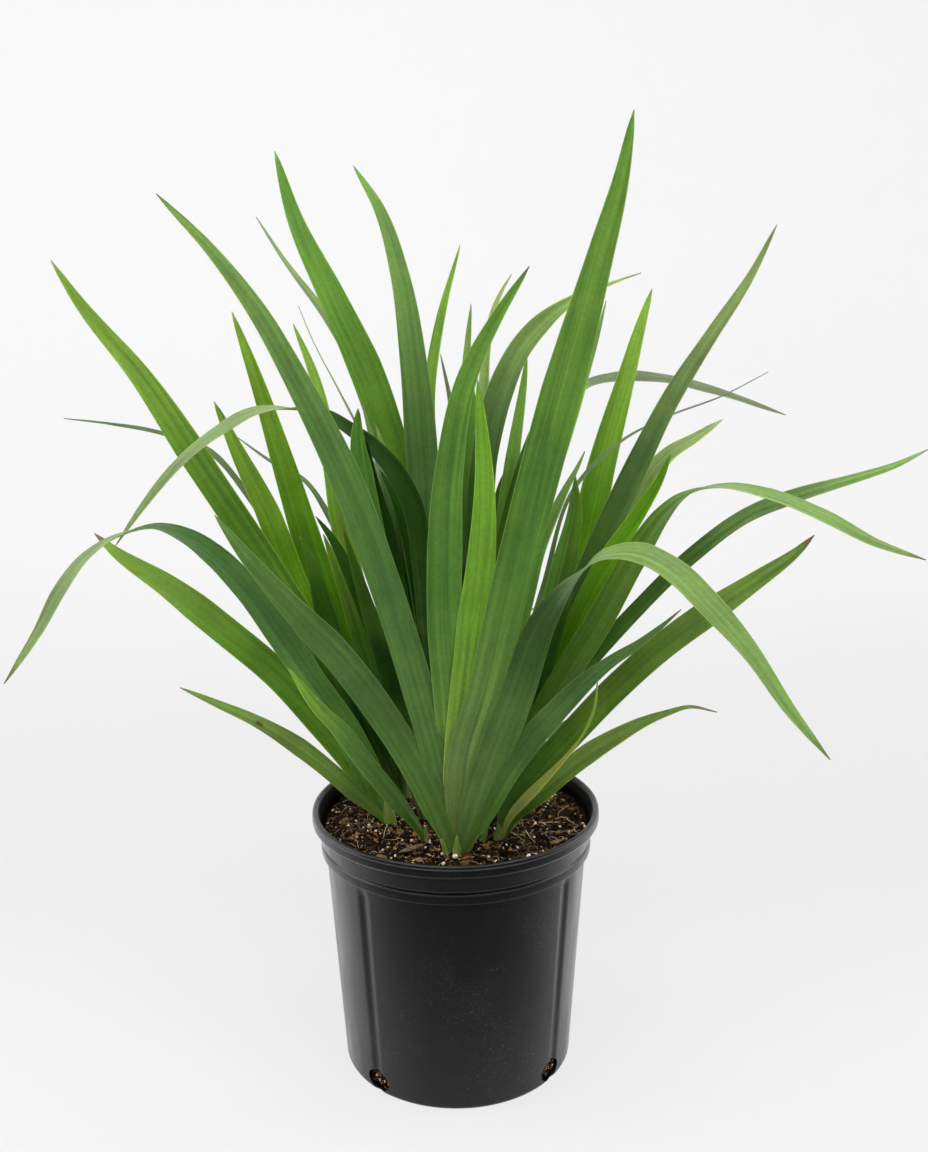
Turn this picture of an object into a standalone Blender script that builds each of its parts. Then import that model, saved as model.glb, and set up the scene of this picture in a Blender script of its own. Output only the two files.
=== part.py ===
"""Potted walking iris: fans of sword leaves in a black nursery pot filled with potting mix.

Units are metres, +Z is up, the viewer stands on the -Y side. The origin is the middle of the pot's
underside. Every fan is one body: a short crown sunk in the soil with its leaves grown out of it.

The leaves are laid out on a front elevation of the plant. A leaf's midrib is a list of points
(across, up) in millimetres, read on the upright plane y = 0 as seen from VIEW, from the crown to the
tip, with heights measured from the pot's inside floor. Each point is then moved along its line of sight
to the leaf's own depth, so the plant keeps its outline from the front while its leaves spread from front
to back.
"""

import math

import bpy
import numpy as np

MM = 0.001

# Pot
RIM_RADIUS = 82.5 * MM
POT_HEIGHT = 155.0 * MM
WALL_TOP_RADIUS = 75.0 * MM
WALL_TOP = 129.6 * MM
WALL_FOOT_RADIUS = 67.0 * MM
WALL_FOOT = 5.0 * MM
WALL = 1.6 * MM
FLOOR = 2.0 * MM
FLUTE_DEPTH = 1.2 * MM
FLUTE_HALF_ANGLE = math.radians(3.6)
FLUTE_ANGLES = np.radians((-42.5, 54.0, 137.5, 234.0))     # from the front, towards +X
HOLE_ANGLES = np.radians((-42.3, 52.0, 138.7, 232.0))
PLAIN_SPANS = 8                        # wall facets between two flutes
FLUTE_SPANS = 4
HOLE_HALF_WIDTH = 8.0 * MM
HOLE_HALF_HEIGHT = 6.2 * MM
HOLE_HEIGHT = 6.9 * MM
HOLE_SIDES = 16
HOLE_INSIDE = 60.0 * MM                # the cutter runs between these two radii
HOLE_OUTSIDE = 72.0 * MM
LOW_ROW = 60.0 * MM                    # heights of the wall's rows between foot and bands
HIGH_ROW = 120.0 * MM
UNDER_BANDS = 124.0 * MM

# Soil
SOIL_TOP = 145.5 * MM
SOIL_MOUND = 1.8 * MM
CLOD = 0.8 * MM
SOIL_EDGE = 2.9 * MM                   # the soil's top reaches so far past the wall's top radius
SOIL_SPREAD = 70.0 * MM
SOIL_RINGS = 6
SEAT_GAP = 0.35 * MM                   # clearance between touching pieces

# Crowns
CROWN_DEPTH = 20.0 * MM
CROWN_RISE = 9.0 * MM
CROWN_STRAIGHT = 4.0 * MM              # height above the soil where the crown starts to narrow
CROWN_TOP = 0.62                       # share of its section left at the top
CROWN_SIDES = 12
LEAF_START = 3.0 * MM                  # height of a leaf's root above the soil, inside the crown
LAYER = 2.6 * MM                       # from one leaf to the next, front to back, in a crown
LAYERS_SHARE = 1.5                     # of a crown's half depth, the most that its layers take up
SEAT_SHARE = 0.45                      # of a crown's half width, the most a root sits off its middle
SEAT_REACH = 8.0                       # mm of lean at which a root nears that limit

# Blades
EDGE_THICKNESS = 0.6 * MM
RIB_THICKNESS = 1.5 * MM
BLADE_FOLD = 0.10                      # how far the edges stand above the midrib, per half width
BASE_WIDTH = 0.6                       # width at the crown, as a share of the widest
BASE_LENGTH = 42.0 * MM                # over which a blade widens from its crown
TIP_WIDTH = 0.7 * MM
SEGMENT = 42.0 * MM                    # a new section for each such length of midrib
BEND = math.radians(11.0)              # and for each such bend
FEWEST_SEGMENTS = 6
CURVE_SAMPLES = 240
DEPTH_POWER = 1.2                      # a blade leaves its crown upright and leans more as it goes
TAPER_POWER = 0.64
RIB_FADE = 3.0 * MM                    # a blade narrower than twice this has a slimmer rib
SLIMMEST_RIB = 0.4

VIEW = np.array((6.0, -704.0, 465.0)) * MM

# Fans: node name, crown centre x and y, half width and half depth, all in mm, and the leaves.
# A leaf: width, length of the taper to the tip, depth of the tip, turns in degrees from the crown to
# the tip (0 = upper face to the viewer, 90 = edge on, 180 = underside to the viewer), midrib points.
FANS = [
    ("fan_front", 1.5, -42.5, 10.5, 8.5, [
        (19.5, 150, -90, (8, 2, 10), [(0, 178), (-2, 215), (-5, 260), (-4.5, 300), (-1, 350), (10, 400),
                                      (24, 427), (41.6, 454)]),
        (19, 125, -80, (-5, 4, 10), [(3, 180), (7, 221), (9.5, 241), (11.4, 261), (14, 280), (16.6, 308),
                                     (17.7, 335.6), (16.4, 367), (14.1, 395.6)]),
        (18, 160, -78, (12, 8, 20), [(-10, 178), (-21, 223), (-37, 280), (-61, 350), (-81, 393),
                                     (-103, 434), (-124, 463), (-151, 492)]),
        (22.5, 128, -126, (6, 0, 12), [(7, 178), (19, 222), (30.5, 274), (49, 350), (61.5, 397), (78, 457),
                                       (89, 499), (94.5, 531)]),
        (18, 90, -74, (20, 10, 25), [(-20, 169), (-40, 205), (-64, 240), (-92, 272), (-115, 301),
                                     (-130, 323)]),
        (20.5, 110, -150, (172, 170, 166, 156, 108, 52, 40, 38, 42), [
            (18, 168), (35, 216), (52, 264), (68, 286.5), (84, 298.5), (104, 298.8), (116, 293),
            (127.5, 284.5), (138.5, 273.3), (165, 243.5), (191.5, 205.5), (215, 177)]),
        (14.5, 95, -76, (20, 15, 60), [(16, 145), (30, 171), (43.5, 191), (62, 212.3), (78.7, 229),
                                       (90.4, 238.4), (104.3, 247.4), (114, 255.4), (126.8, 267.2)]),
    ]),
    ("fan_front_small", -16.5, -31.0, 4.5, 4.0, [
        (11.5, 55, -58, (30, 20, 30), [(-25, 141), (-36, 156), (-53.5, 180), (-65, 197), (-77.5, 211),
                                       (-94, 236)]),
    ]),
    ("fan_right", 24.0, -30.0, 7.5, 6.5, [
        (15.5, 66, -84, (15, 8, 20), [(30, 147), (47, 171), (66.2, 193.7), (94, 224.3), (121.6, 249.5),
                                      (138, 262), (168, 283.5), (190, 300), (198.7, 309)]),
        (13, 80, -92, (30, 25, 70), [(33, 143), (51, 160), (77, 182.2), (93.5, 192.8), (107, 200.3),
                                     (120.5, 205.8), (134, 209.6), (149, 206.5)]),
        (6.5, 90, -74, (20, 40, 70, 35), [(30, 140), (46, 160), (62, 178), (74, 195), (79, 208),
                                          (81, 227)]),
    ]),
    ("fan_left", -38.5, -2.0, 10.0, 7.0, [
        (10, 50, 8, (10, 15), [(-38, 160), (-50, 187), (-66, 224), (-78, 248), (-88, 268)]),
        (16.5, 70, 10, (15, 5, 20), [(-45, 158), (-57, 177), (-78, 204.5), (-99, 230.5), (-127, 256.5),
                                     (-158, 283), (-187, 304), (-196.5, 313.5)]),
        (16.5, 120, -72, (168, 166, 163, 160, 154, 118, 70, 40, 30), [
            (-44, 155), (-59.5, 193), (-81, 228), (-98.5, 256.5), (-114.3, 280.6), (-131, 299.5),
            (-146, 310.8), (-162, 316.3), (-181.5, 312.5), (-201.5, 300.5), (-218, 281), (-231.5, 258.5),
            (-254, 227)]),
        (11, 75, -24, (25, 20, 40), [(-48, 149), (-57, 157.5), (-68, 168.8), (-90, 188.2), (-114, 204),
                                     (-134, 213.8), (-155, 224)]),
    ]),
    ("fan_inner_left", -17.0, 0.0, 8.0, 7.0, [
        (6.5, 40, 26, (20, 30), [(-12, 200), (-18, 280), (-26, 335), (-36, 357), (-41, 372)]),
        (6.5, 80, 21, (10, 20), [(-16, 190), (-26, 270), (-36, 335), (-44, 368), (-48.4, 386)]),
        (10, 60, 15, (10, 15), [(-14, 200), (-17, 268), (-26, 315), (-31.5, 332), (-39.5, 348)]),
        (12.5, 150, 12, (165, 163, 160, 157, 152, 112, 52, 38, 36), [
            (-14, 220), (-17, 290), (-23, 330.4), (-31, 346), (-44, 361), (-54, 368.5), (-67, 376.8),
            (-86, 380.5), (-104, 379.5), (-126, 368.5), (-148, 351.5), (-169, 328), (-185.5, 306)]),
        (12, 50, 4, (12, 20), [(-17, 190), (-28, 260), (-37, 310), (-44.5, 345), (-47, 366)]),
        (13, 34, -2, (10, 25), [(-20, 180), (-30, 240), (-41, 300), (-49, 345), (-51, 365),
                                (-50, 380.5)]),
        (11, 60, -6, (15, 20), [(-30, 200), (-43, 253.5), (-54.5, 283), (-68, 312), (-74.7, 321.7)]),
        (10, 60, -10, (15, 25), [(-26, 180), (-40, 240), (-52, 285), (-60, 315)]),
    ]),
    ("fan_centre", 10.0, 4.0, 8.0, 6.5, [
        (11, 50, 28, (5, 15), [(16, 200), (22, 280), (25, 310), (26.5, 335), (30.9, 350)]),
        (8.5, 60, 20, (10, 20), [(18, 220), (24, 290), (29, 325), (34.5, 364), (39, 395), (40.5, 409)]),
        (11, 60, 11, (10, 15), [(18, 220), (26, 290), (32, 320), (37, 345), (44.6, 373)]),
        (12, 60, 2, (5, 10), [(7, 200), (9, 280), (11, 340), (11.5, 372), (12, 392)]),
        (16.5, 92, -34, (158, 157, 156, 155, 152, 146, 92), [
            (11, 220), (15, 300), (18.5, 357), (25.5, 386), (39, 414), (50.5, 426.5), (68, 438.2),
            (84, 444.5), (100, 450)]),
        (10.5, 80, -16, (15, 20, 35), [(23, 180), (35, 250), (48, 303), (56, 323), (61.5, 335),
                                       (68, 347.5), (72, 356.5)]),
    ]),
    ("fan_inner_right", 30.0, 10.0, 7.5, 7.0, [
        (13.5, 160, 20, (20, 10, 20), [(38, 180), (55, 240), (79, 300), (101, 350), (118, 385),
                                       (137, 416), (158, 449), (170, 474)]),
        (14.5, 75, 27, (15, 8, 25), [(38, 180), (58, 245), (84, 303), (100, 329), (108, 344),
                                     (118, 355), (131, 363), (145.8, 373)]),
        (12.5, 75, 2, (15, 5, 15), [(38, 178), (60, 238), (88, 300), (102, 322), (112, 339),
                                    (118.7, 354.5)]),
        (9, 50, 6, (20, 30), [(40, 215), (49, 250), (54.5, 276), (60, 300), (65, 323), (66.7, 341.8)]),
        (10.5, 70, -4, (15, 30), [(40, 190), (50, 230), (60, 270), (67, 309), (68.8, 325), (67, 343)]),
        (9, 90, 30, (20, 15, 30), [(42, 185), (74, 234), (104, 269.5), (133, 299), (161, 320.2),
                                   (188, 331.2), (220, 340.6), (241, 347.5), (258, 356)]),
        (16, 120, -34, (166, 165, 164, 162, 152, 98, 58, 44, 34), [
            (40, 180), (68, 238), (81, 260), (96, 289), (107, 308.7), (115.3, 321), (123.3, 329.2),
            (133, 334.4), (150, 336), (171, 332), (204, 319), (233, 304), (261, 294.3)]),
    ]),
    ("fan_back_left", -30.0, 30.0, 9.5, 7.5, [
        (7, 160, 130, (30, 50, 60), [(-45, 190), (-80, 275), (-112, 335), (-131, 358), (-156, 368),
                                     (-184, 373.5), (-208, 376.5)]),
        (6, 120, 116, (25, 50), [(-42, 230), (-55, 290), (-67.5, 321.5), (-79.5, 341), (-99, 353),
                                 (-116, 366)]),
        (16, 140, 98, (5, 10), [(-36, 180), (-60, 250), (-77.5, 300), (-91, 350), (-102.5, 392),
                                (-115, 432)]),
        (12, 110, 86, (5, 15), [(-32, 185), (-50, 265), (-59, 304), (-65, 350), (-73, 398),
                                (-83, 425.5)]),
        (14, 75, 72, (8, 15), [(-40, 180), (-64, 230), (-86, 280), (-102.5, 328), (-114.5, 355),
                               (-127, 385)]),
        (16, 125, 46, (10, 12), [(-40, 185), (-66, 230), (-100, 290), (-136, 350), (-165, 398),
                                 (-196, 439), (-208, 459)]),
        (12, 50, 34, (15, 20), [(-38, 180), (-58, 225), (-72, 268), (-79, 298), (-84, 311)]),
        (10, 50, 27, (15, 20), [(-34, 190), (-49, 240), (-62, 285), (-71, 312)]),
    ]),
    ("fan_back_right", 18.0, 36.0, 8.0, 7.0, [
        (12, 150, 128, (150, 140, 62, 42), [(26, 200), (40, 290), (52, 348), (61, 377), (72, 391.5),
                                            (88, 395.8), (110, 395.3), (140, 388.5), (179.5, 375)]),
        (16.5, 125, 104, (5, 10), [(30, 190), (52, 240), (72, 305), (81.5, 350), (93.5, 396), (101, 425),
                                   (106, 442)]),
        (5, 60, 80, (15, 30), [(26, 200), (50, 320), (70, 390), (79, 423), (82, 436)]),
        (5, 100, 46, (40, 60), [(28, 200), (50, 280), (68.6, 339), (90.7, 361), (117, 375), (144, 385),
                                (169, 398)]),
    ]),
    ("fan_rear", -6.0, 42.0, 9.5, 8.5, [
        (8, 140, 160, (20, 45), [(-12, 220), (-24, 300), (-34, 360), (-50, 400), (-65, 428),
                                 (-87, 459), (-100, 480)]),
        (5, 90, 150, (20, 55), [(-16, 230), (-32, 310), (-44, 355), (-60, 390), (-74, 419),
                                (-80, 435)]),
        (8.5, 100, 142, (25, 35), [(-4, 200), (-8, 280), (-11, 350), (-12, 385), (-9, 408), (-5, 428),
                                   (5.5, 465)]),
        (18.3, 140, 132, (5, 12), [(-10, 200), (-18, 270), (-28, 340), (-45, 400), (-62, 439),
                                 (-80, 479), (-89, 512.5)]),
        (7, 70, 124, (10, 20), [(4, 250), (6, 350), (8, 401), (9.4, 418), (11, 435)]),
        (17.5, 165, 116, (5, 10), [(-9, 200), (-14, 300), (-16, 350), (-20, 405), (-26, 449),
                                   (-36, 483), (-49, 505)]),
        (5, 60, 108, (20, 35), [(2, 250), (3, 340), (-0.7, 384.5), (-5.5, 409)]),
        (6.5, 70, 44, (15, 20), [(10, 210), (14, 300), (17.5, 387), (18.4, 406), (20.5, 421),
                                 (23.7, 434), (28, 443), (32.4, 450)]),
    ]),
    ("fan_rear_left", -26.0, 55.0, 8.5, 7.5, [
        (12, 80, 146, (20, 30, 50), [(-28, 214), (-32, 244), (-40, 264), (-52, 262)]),
        (14, 90, 214, (20, 40, 60), [(-24, 204), (-26, 240), (-30, 290), (-38, 318), (-50, 314)]),
        (11, 120, 196, (30, 20, 40), [(-24, 210), (-28, 340), (-44, 396), (-60, 434)]),
        (11, 110, 164, (40, 25, 40), [(-30, 210), (-40, 285), (-61, 350), (-79, 391), (-98, 424)]),
        (11, 90, 132, (30, 25, 50), [(-40, 204), (-78, 214), (-100, 233), (-127, 258), (-156, 282)]),
    ]),
    ("fan_rear_right", 12.0, 58.0, 8.5, 7.5, [
        (12, 80, 148, (20, 30, 50), [(16, 214), (24, 246), (34, 268), (46, 268)]),
        (13, 80, 208, (20, 40, 60), [(10, 206), (9, 240), (10, 296), (18, 326), (28, 322)]),
        (14, 110, 184, (30, 20, 30), [(6, 210), (2, 290), (1, 340), (11, 384)]),
        (13, 120, 156, (40, 25, 35), [(16, 206), (32, 270), (49.5, 350), (61.5, 395), (76, 448)]),
        (9, 80, 118, (30, 25, 45), [(30, 194), (62, 197), (84, 216), (110, 239), (136, 261), (162, 280)]),
    ]),
]

# Colour and roughness
POT_FINISH = ((0.023, 0.024, 0.026), 0.42)
SOIL_FINISH = ((0.045, 0.028, 0.018), 0.95)
LEAF_FINISH = ((0.10, 0.24, 0.05), 0.45)
POT_CREASE = math.radians(35)
SOIL_CREASE = math.radians(60)
LEAF_CREASE = math.radians(50)


def clear_scene():
    """Remove every object that the file opened with."""
    for old in list(bpy.data.objects):
        bpy.data.objects.remove(old, do_unlink=True)


def finish(name, colour, roughness):
    """One Principled material for one piece."""
    material = bpy.data.materials.new(name)
    material.use_nodes = True
    shader = material.node_tree.nodes["Principled BSDF"]
    shader.inputs["Base Color"].default_value = (*colour, 1.0)
    shader.inputs["Roughness"].default_value = roughness
    shader.inputs["Metallic"].default_value = 0.0
    return material


def add_solid(name, vertices, faces, collection=None):
    """Object with a triangle mesh made from whole lists of vertices and faces."""
    mesh = bpy.data.meshes.new(name)
    mesh.from_pydata([tuple(row) for row in np.asarray(vertices, dtype=float)], [], faces)
    mesh.validate()
    solid = bpy.data.objects.new(name, mesh)
    (collection or bpy.context.scene.collection).objects.link(solid)
    return solid


def dress(solid, look, sharp_angle):
    """Give a solid its own material and smooth shading with sharp creases."""
    colour, roughness = look
    solid.data.materials.clear()
    solid.data.materials.append(finish(solid.name, colour, roughness))
    solid.data.shade_smooth()
    solid.data.set_sharp_from_angle(angle=sharp_angle)


def apply_boolean(solid, operation, cutters):
    """Join to or cut from a solid every object of a collection, then remove those objects."""
    modifier = solid.modifiers.new("cut", "BOOLEAN")
    modifier.operation = operation
    modifier.operand_type = "COLLECTION"
    modifier.collection = cutters
    modifier.solver = "EXACT"
    graph = bpy.context.evaluated_depsgraph_get()
    result = bpy.data.meshes.new_from_object(solid.evaluated_get(graph))
    solid.modifiers.clear()
    solid.data = result
    for used in list(cutters.objects):
        bpy.data.objects.remove(used, do_unlink=True)
    bpy.data.collections.remove(cutters)


def work_collection(name):
    """Collection that holds the pieces of one Boolean for a while."""
    collection = bpy.data.collections.new(name)
    bpy.context.scene.collection.children.link(collection)
    return collection


def lathe_faces(rings, columns):
    """Triangles of a closed turned surface: a pole, rings of columns, and a second pole."""
    faces = []
    last = 1 + rings * columns
    for column in range(columns):
        beside = (column + 1) % columns
        faces.append((0, 1 + beside, 1 + column))
        for ring in range(rings - 1):
            low = 1 + ring * columns
            high = low + columns
            faces.append((low + column, low + beside, high + column))
            faces.append((low + beside, high + beside, high + column))
        top = 1 + (rings - 1) * columns
        faces.append((top + column, top + beside, last))
    return faces


def column_angles():
    """Angles of the wall's facets, from the front towards +X, with closer ones across each flute."""
    angles = []
    for middle, following in zip(FLUTE_ANGLES, np.roll(FLUTE_ANGLES, -1)):
        start = middle + FLUTE_HALF_ANGLE
        end = start + (following - middle) % (2 * math.pi) - 2 * FLUTE_HALF_ANGLE
        angles.extend(np.linspace(middle - FLUTE_HALF_ANGLE, start, FLUTE_SPANS, endpoint=False))
        angles.extend(np.linspace(start, end, PLAIN_SPANS, endpoint=False))
    return np.array(angles)


def flute_depth(angles):
    """Depth of the wall's flutes: a raised cosine across each, nothing between them."""
    offset = (angles[:, None] - FLUTE_ANGLES + math.pi) % (2 * math.pi) - math.pi
    nearest = np.min(np.abs(offset), axis=1)
    return FLUTE_DEPTH * (0.5 + 0.5 * np.cos(math.pi * np.clip(nearest / FLUTE_HALF_ANGLE, 0, 1)))


def wall_radius(height):
    """Outer radius of the plain tapered wall at a height."""
    share = (height - WALL_FOOT) / (WALL_TOP - WALL_FOOT)
    return WALL_FOOT_RADIUS + (WALL_TOP_RADIUS - WALL_FOOT_RADIUS) * share


def on_circle(radius, height, angles):
    """Points on a level ring: angle 0 is the front, -Y."""
    ones = np.ones_like(angles)
    return np.stack([radius * np.sin(angles), -radius * np.cos(angles), height * ones], axis=1)


def make_pot():
    """Pot: a turned shell with rolled lip, two bands, four flutes and four drain holes."""
    angles = column_angles()
    groove = flute_depth(angles)
    # radius, height and share of the flute, from the floor up the inside and down the outside
    profile = [
        (WALL_FOOT_RADIUS - WALL - 1.8 * MM, FLOOR, 0.4),
        (WALL_FOOT_RADIUS - WALL, WALL_FOOT, 1.0),
        (wall_radius(LOW_ROW) - WALL, LOW_ROW, 1.0),
        (wall_radius(HIGH_ROW) - WALL, HIGH_ROW, 1.0),
        (WALL_TOP_RADIUS - WALL, WALL_TOP, 0.0),
        (76.2 * MM, 139.5 * MM, 0.0),
        (77.2 * MM, 148.0 * MM, 0.0),
        (78.8 * MM, 153.6 * MM, 0.0),
        (80.4 * MM, POT_HEIGHT, 0.0),
        (81.9 * MM, 154.3 * MM, 0.0),
        (RIM_RADIUS, 152.6 * MM, 0.0),
        (RIM_RADIUS, 148.8 * MM, 0.0),
        (81.6 * MM, 147.6 * MM, 0.0),
        (79.0 * MM, 147.0 * MM, 0.0),
        (78.1 * MM, 138.2 * MM, 0.0),
        (77.4 * MM, 137.4 * MM, 0.0),
        (76.5 * MM, 136.9 * MM, 0.0),
        (77.9 * MM, 135.6 * MM, 0.0),
        (77.8 * MM, 130.8 * MM, 0.0),
        (WALL_TOP_RADIUS, WALL_TOP, 0.0),
        (wall_radius(UNDER_BANDS), UNDER_BANDS, 1.0),
        (wall_radius(LOW_ROW), LOW_ROW, 1.0),
        (WALL_FOOT_RADIUS, WALL_FOOT, 1.0),
        (WALL_FOOT_RADIUS - 0.2 * MM, 1.2 * MM, 0.8),
        (WALL_FOOT_RADIUS - 0.9 * MM, 0.0, 0.6),
    ]
    rings = [on_circle(radius - share * groove, height, angles) for radius, height, share in profile]
    vertices = np.vstack([[(0, 0, FLOOR)], *rings, [(0, 0, 0)]])
    pot = add_solid("pot", vertices, lathe_faces(len(profile), len(angles)))
    holes = work_collection("drain_holes")
    for angle in HOLE_ANGLES:
        bore_drain_hole(angle, holes)
    apply_boolean(pot, "DIFFERENCE", holes)
    dress(pot, POT_FINISH, POT_CREASE)


def bore_drain_hole(angle, collection):
    """Cutter for one drain hole: an upright oval driven inwards through the foot of the wall."""
    around = np.linspace(0, 2 * math.pi, HOLE_SIDES, endpoint=False)
    across = HOLE_HALF_WIDTH * np.cos(around)
    up = HOLE_HEIGHT + HOLE_HALF_HEIGHT * np.sin(around)
    ends = []
    for radius in (HOLE_INSIDE, HOLE_OUTSIDE):
        x = radius * math.sin(angle) + across * math.cos(angle)
        y = -radius * math.cos(angle) + across * math.sin(angle)
        ends.append(np.stack([x, y, up], axis=1))
    middles = [ends[0].mean(axis=0), ends[1].mean(axis=0)]
    vertices = np.vstack([[middles[0]], ends[0], ends[1], [middles[1]]])
    cutter = add_solid("drain_hole", vertices, lathe_faces(2, HOLE_SIDES), collection)
    cutter.hide_render = True
    cutter.display_type = "WIRE"


def soil_height(x, y):
    """Height of the soil: a low mound with rounded clods, as a sum of crossed sine waves."""
    fall = (x * x + y * y) / SOIL_SPREAD ** 2
    clods = np.sin(x / (4.1 * MM) + 1.3) * np.sin(y / (3.7 * MM) + 0.4)
    clods = clods + 0.6 * np.sin((x + y) / (2.9 * MM)) * np.sin((x - 1.4 * y) / (5.3 * MM) + 2.0)
    return SOIL_TOP + SOIL_MOUND * (0.5 - fall) + CLOD * clods


def make_soil():
    """Soil: fills the pot to just below its rim, with a plain hole for every crown."""
    angles = column_angles()
    groove = flute_depth(angles)
    clear = WALL + SEAT_GAP
    side = [
        (WALL_FOOT_RADIUS - clear - 2.0 * MM, FLOOR + SEAT_GAP, 0.4),
        (WALL_FOOT_RADIUS - clear, WALL_FOOT, 1.0),
        (wall_radius(LOW_ROW) - clear, LOW_ROW, 1.0),
        (wall_radius(HIGH_ROW) - clear, HIGH_ROW, 1.0),
        (WALL_TOP_RADIUS - clear, WALL_TOP, 0.0),
    ]
    rings = [on_circle(radius - share * groove, height, angles) for radius, height, share in side]
    edge = WALL_TOP_RADIUS - clear + SOIL_EDGE
    for share in np.linspace(1.0, 0.0, SOIL_RINGS, endpoint=False):
        level = on_circle(edge * share, 0.0, angles)
        level[:, 2] = soil_height(level[:, 0], level[:, 1])
        rings.append(level)
    top = (0, 0, float(soil_height(np.zeros(1), np.zeros(1))[0]))
    vertices = np.vstack([[(0, 0, FLOOR + SEAT_GAP)], *rings, [top]])
    soil = add_solid("soil", vertices, lathe_faces(len(rings), len(angles)))
    holes = work_collection("crown_holes")
    for fan in FANS:
        hole = crown_body("hole_" + fan[0], fan[1:5], SEAT_GAP, holes)
        hole.hide_render = True
        hole.display_type = "WIRE"
    apply_boolean(soil, "DIFFERENCE", holes)
    dress(soil, SOIL_FINISH, SOIL_CREASE)


def crown_body(name, place, grow, collection):
    """Elliptical stub: straight in the soil, drawn in towards its top. Grown, it is the hole."""
    x, y, half_width, half_depth = (value * MM for value in place)
    top = SOIL_TOP + CROWN_RISE
    # height and share of the full section
    levels = [
        (SOIL_TOP - CROWN_DEPTH - grow, 1.0),
        (SOIL_TOP + CROWN_STRAIGHT, 1.0),
        (top, CROWN_TOP),
    ]
    if grow:
        levels[-1] = (top, 1.0)
    around = np.linspace(0, 2 * math.pi, CROWN_SIDES, endpoint=False)
    rings = []
    for height, share in levels:
        across = x + (half_width + grow) * share * np.cos(around)
        along = y + (half_depth + grow) * share * np.sin(around)
        rings.append(np.stack([across, along, np.full(CROWN_SIDES, height)], axis=1))
    bottom = (x, y, levels[0][0])
    cap = (x, y, top)
    vertices = np.vstack([[bottom], *rings, [cap]])
    return add_solid(name, vertices, lathe_faces(len(levels), CROWN_SIDES), collection)


def sight(across, up, depth):
    """Point seen at (across, up) on the front elevation, moved along its sight line to y = depth."""
    on_plane = np.stack([across, np.zeros_like(across), up + FLOOR], axis=-1)
    reach = (depth - VIEW[1]) / -VIEW[1]
    return VIEW + (on_plane - VIEW) * reach[..., None]


def smooth_curve(points, samples):
    """Cubic Hermite curve through the points, with slopes from their neighbours by chord length."""
    knots = run_of(points)
    slopes = np.gradient(points, knots, axis=0)
    where = np.linspace(0, knots[-1], samples)
    index = np.clip(np.searchsorted(knots, where, side="right") - 1, 0, len(points) - 2)
    span = (knots[index + 1] - knots[index])[:, None]
    t = (where - knots[index])[:, None] / span
    start = (2 * t ** 3 - 3 * t ** 2 + 1) * points[index]
    leave = (t ** 3 - 2 * t ** 2 + t) * span * slopes[index]
    end = (3 * t ** 2 - 2 * t ** 3) * points[index + 1]
    arrive = (t ** 3 - t ** 2) * span * slopes[index + 1]
    return start + leave + end + arrive


def midrib(root, tip_depth, sights):
    """Points of a leaf's midrib from inside the crown to the tip, closer together where it bends."""
    run = np.linalg.norm(sights[0] + (0, FLOOR) - root[[0, 2]]) + run_of(sights)
    share = run / run[-1]
    depth = root[1] + (tip_depth - root[1]) * share ** DEPTH_POWER
    seen = sight(sights[:, 0], sights[:, 1], depth)
    fine = smooth_curve(np.vstack([root, seen]), CURVE_SAMPLES)
    lengths = run_of(fine)
    along = unit(np.gradient(fine, axis=0))
    bends = np.arccos(np.clip(np.sum(along[1:] * along[:-1], axis=1), -1, 1))
    measure = lengths / SEGMENT + np.concatenate([[0.0], np.cumsum(bends)]) / BEND
    count = max(int(round(measure[-1])), FEWEST_SEGMENTS) + 1
    even = np.linspace(0, measure[-1], count)
    return np.stack([np.interp(even, measure, fine[:, axis]) for axis in range(3)], axis=1)


def run_of(rows):
    """Length along a row of points, from the first to each."""
    return np.concatenate([[0.0], np.cumsum(np.linalg.norm(np.diff(rows, axis=0), axis=1))])


def unit(rows):
    """Rows scaled to length 1."""
    return rows / np.linalg.norm(rows, axis=1, keepdims=True)


def blade_frame(rib, turns):
    """Width and face directions along a midrib: the face starts square to the viewer, then turns."""
    along = unit(np.gradient(rib, axis=0))
    toward = VIEW - rib
    face = unit(toward - np.sum(toward * along, axis=1, keepdims=True) * along)
    lean = math.copysign(1.0, rib[-1, 0] - rib[0, 0])
    upward = lean * np.cross(face, along)
    share = run_of(rib) / run_of(rib)[-1]
    angle = np.radians(np.interp(share, np.linspace(0, 1, len(turns)), turns))[:, None]
    normal = face * np.cos(angle) + upward * np.sin(angle)
    return np.cross(along, normal), normal


def blade_width(rib, width, taper):
    """Full width along a midrib: drawn in at the crown, then parallel, then tapered to the tip."""
    length = run_of(rib)
    share = np.clip(length / BASE_LENGTH, 0, 1)
    base = BASE_WIDTH + (1 - BASE_WIDTH) * (3 * share ** 2 - 2 * share ** 3)
    left = np.clip((length[-1] - length) / taper, 0, 1)
    nearness = (rib[:, 1] - VIEW[1]) / -VIEW[1]
    return np.maximum(width * nearness * base * left ** TAPER_POWER, TIP_WIDTH)


def add_blade(name, root, leaf, collection):
    """Leaf: a six-cornered section, thick at the rib and 0.6 mm at the edges, along the midrib."""
    width, taper, tip_depth, turns, sights = leaf
    rib = midrib(root, tip_depth * MM, np.array(sights, dtype=float) * MM)
    across, normal = blade_frame(rib, turns)
    half = blade_width(rib, width * MM, taper * MM)[:, None] / 2
    slim = np.clip(half / RIB_FADE, SLIMMEST_RIB, 1.0)
    edge = EDGE_THICKNESS / 2
    thick = np.maximum(RIB_THICKNESS / 2 * slim, edge)
    lift = BLADE_FOLD * half
    corners = [
        rib - across * half + normal * (lift + edge),
        rib + normal * thick,
        rib + across * half + normal * (lift + edge),
        rib + across * half + normal * (lift - edge),
        rib - normal * thick,
        rib - across * half + normal * (lift - edge),
    ]
    vertices = np.stack(corners, axis=1).reshape(-1, 3)
    return add_solid(name, vertices, blade_faces(len(rib)), collection)


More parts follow.
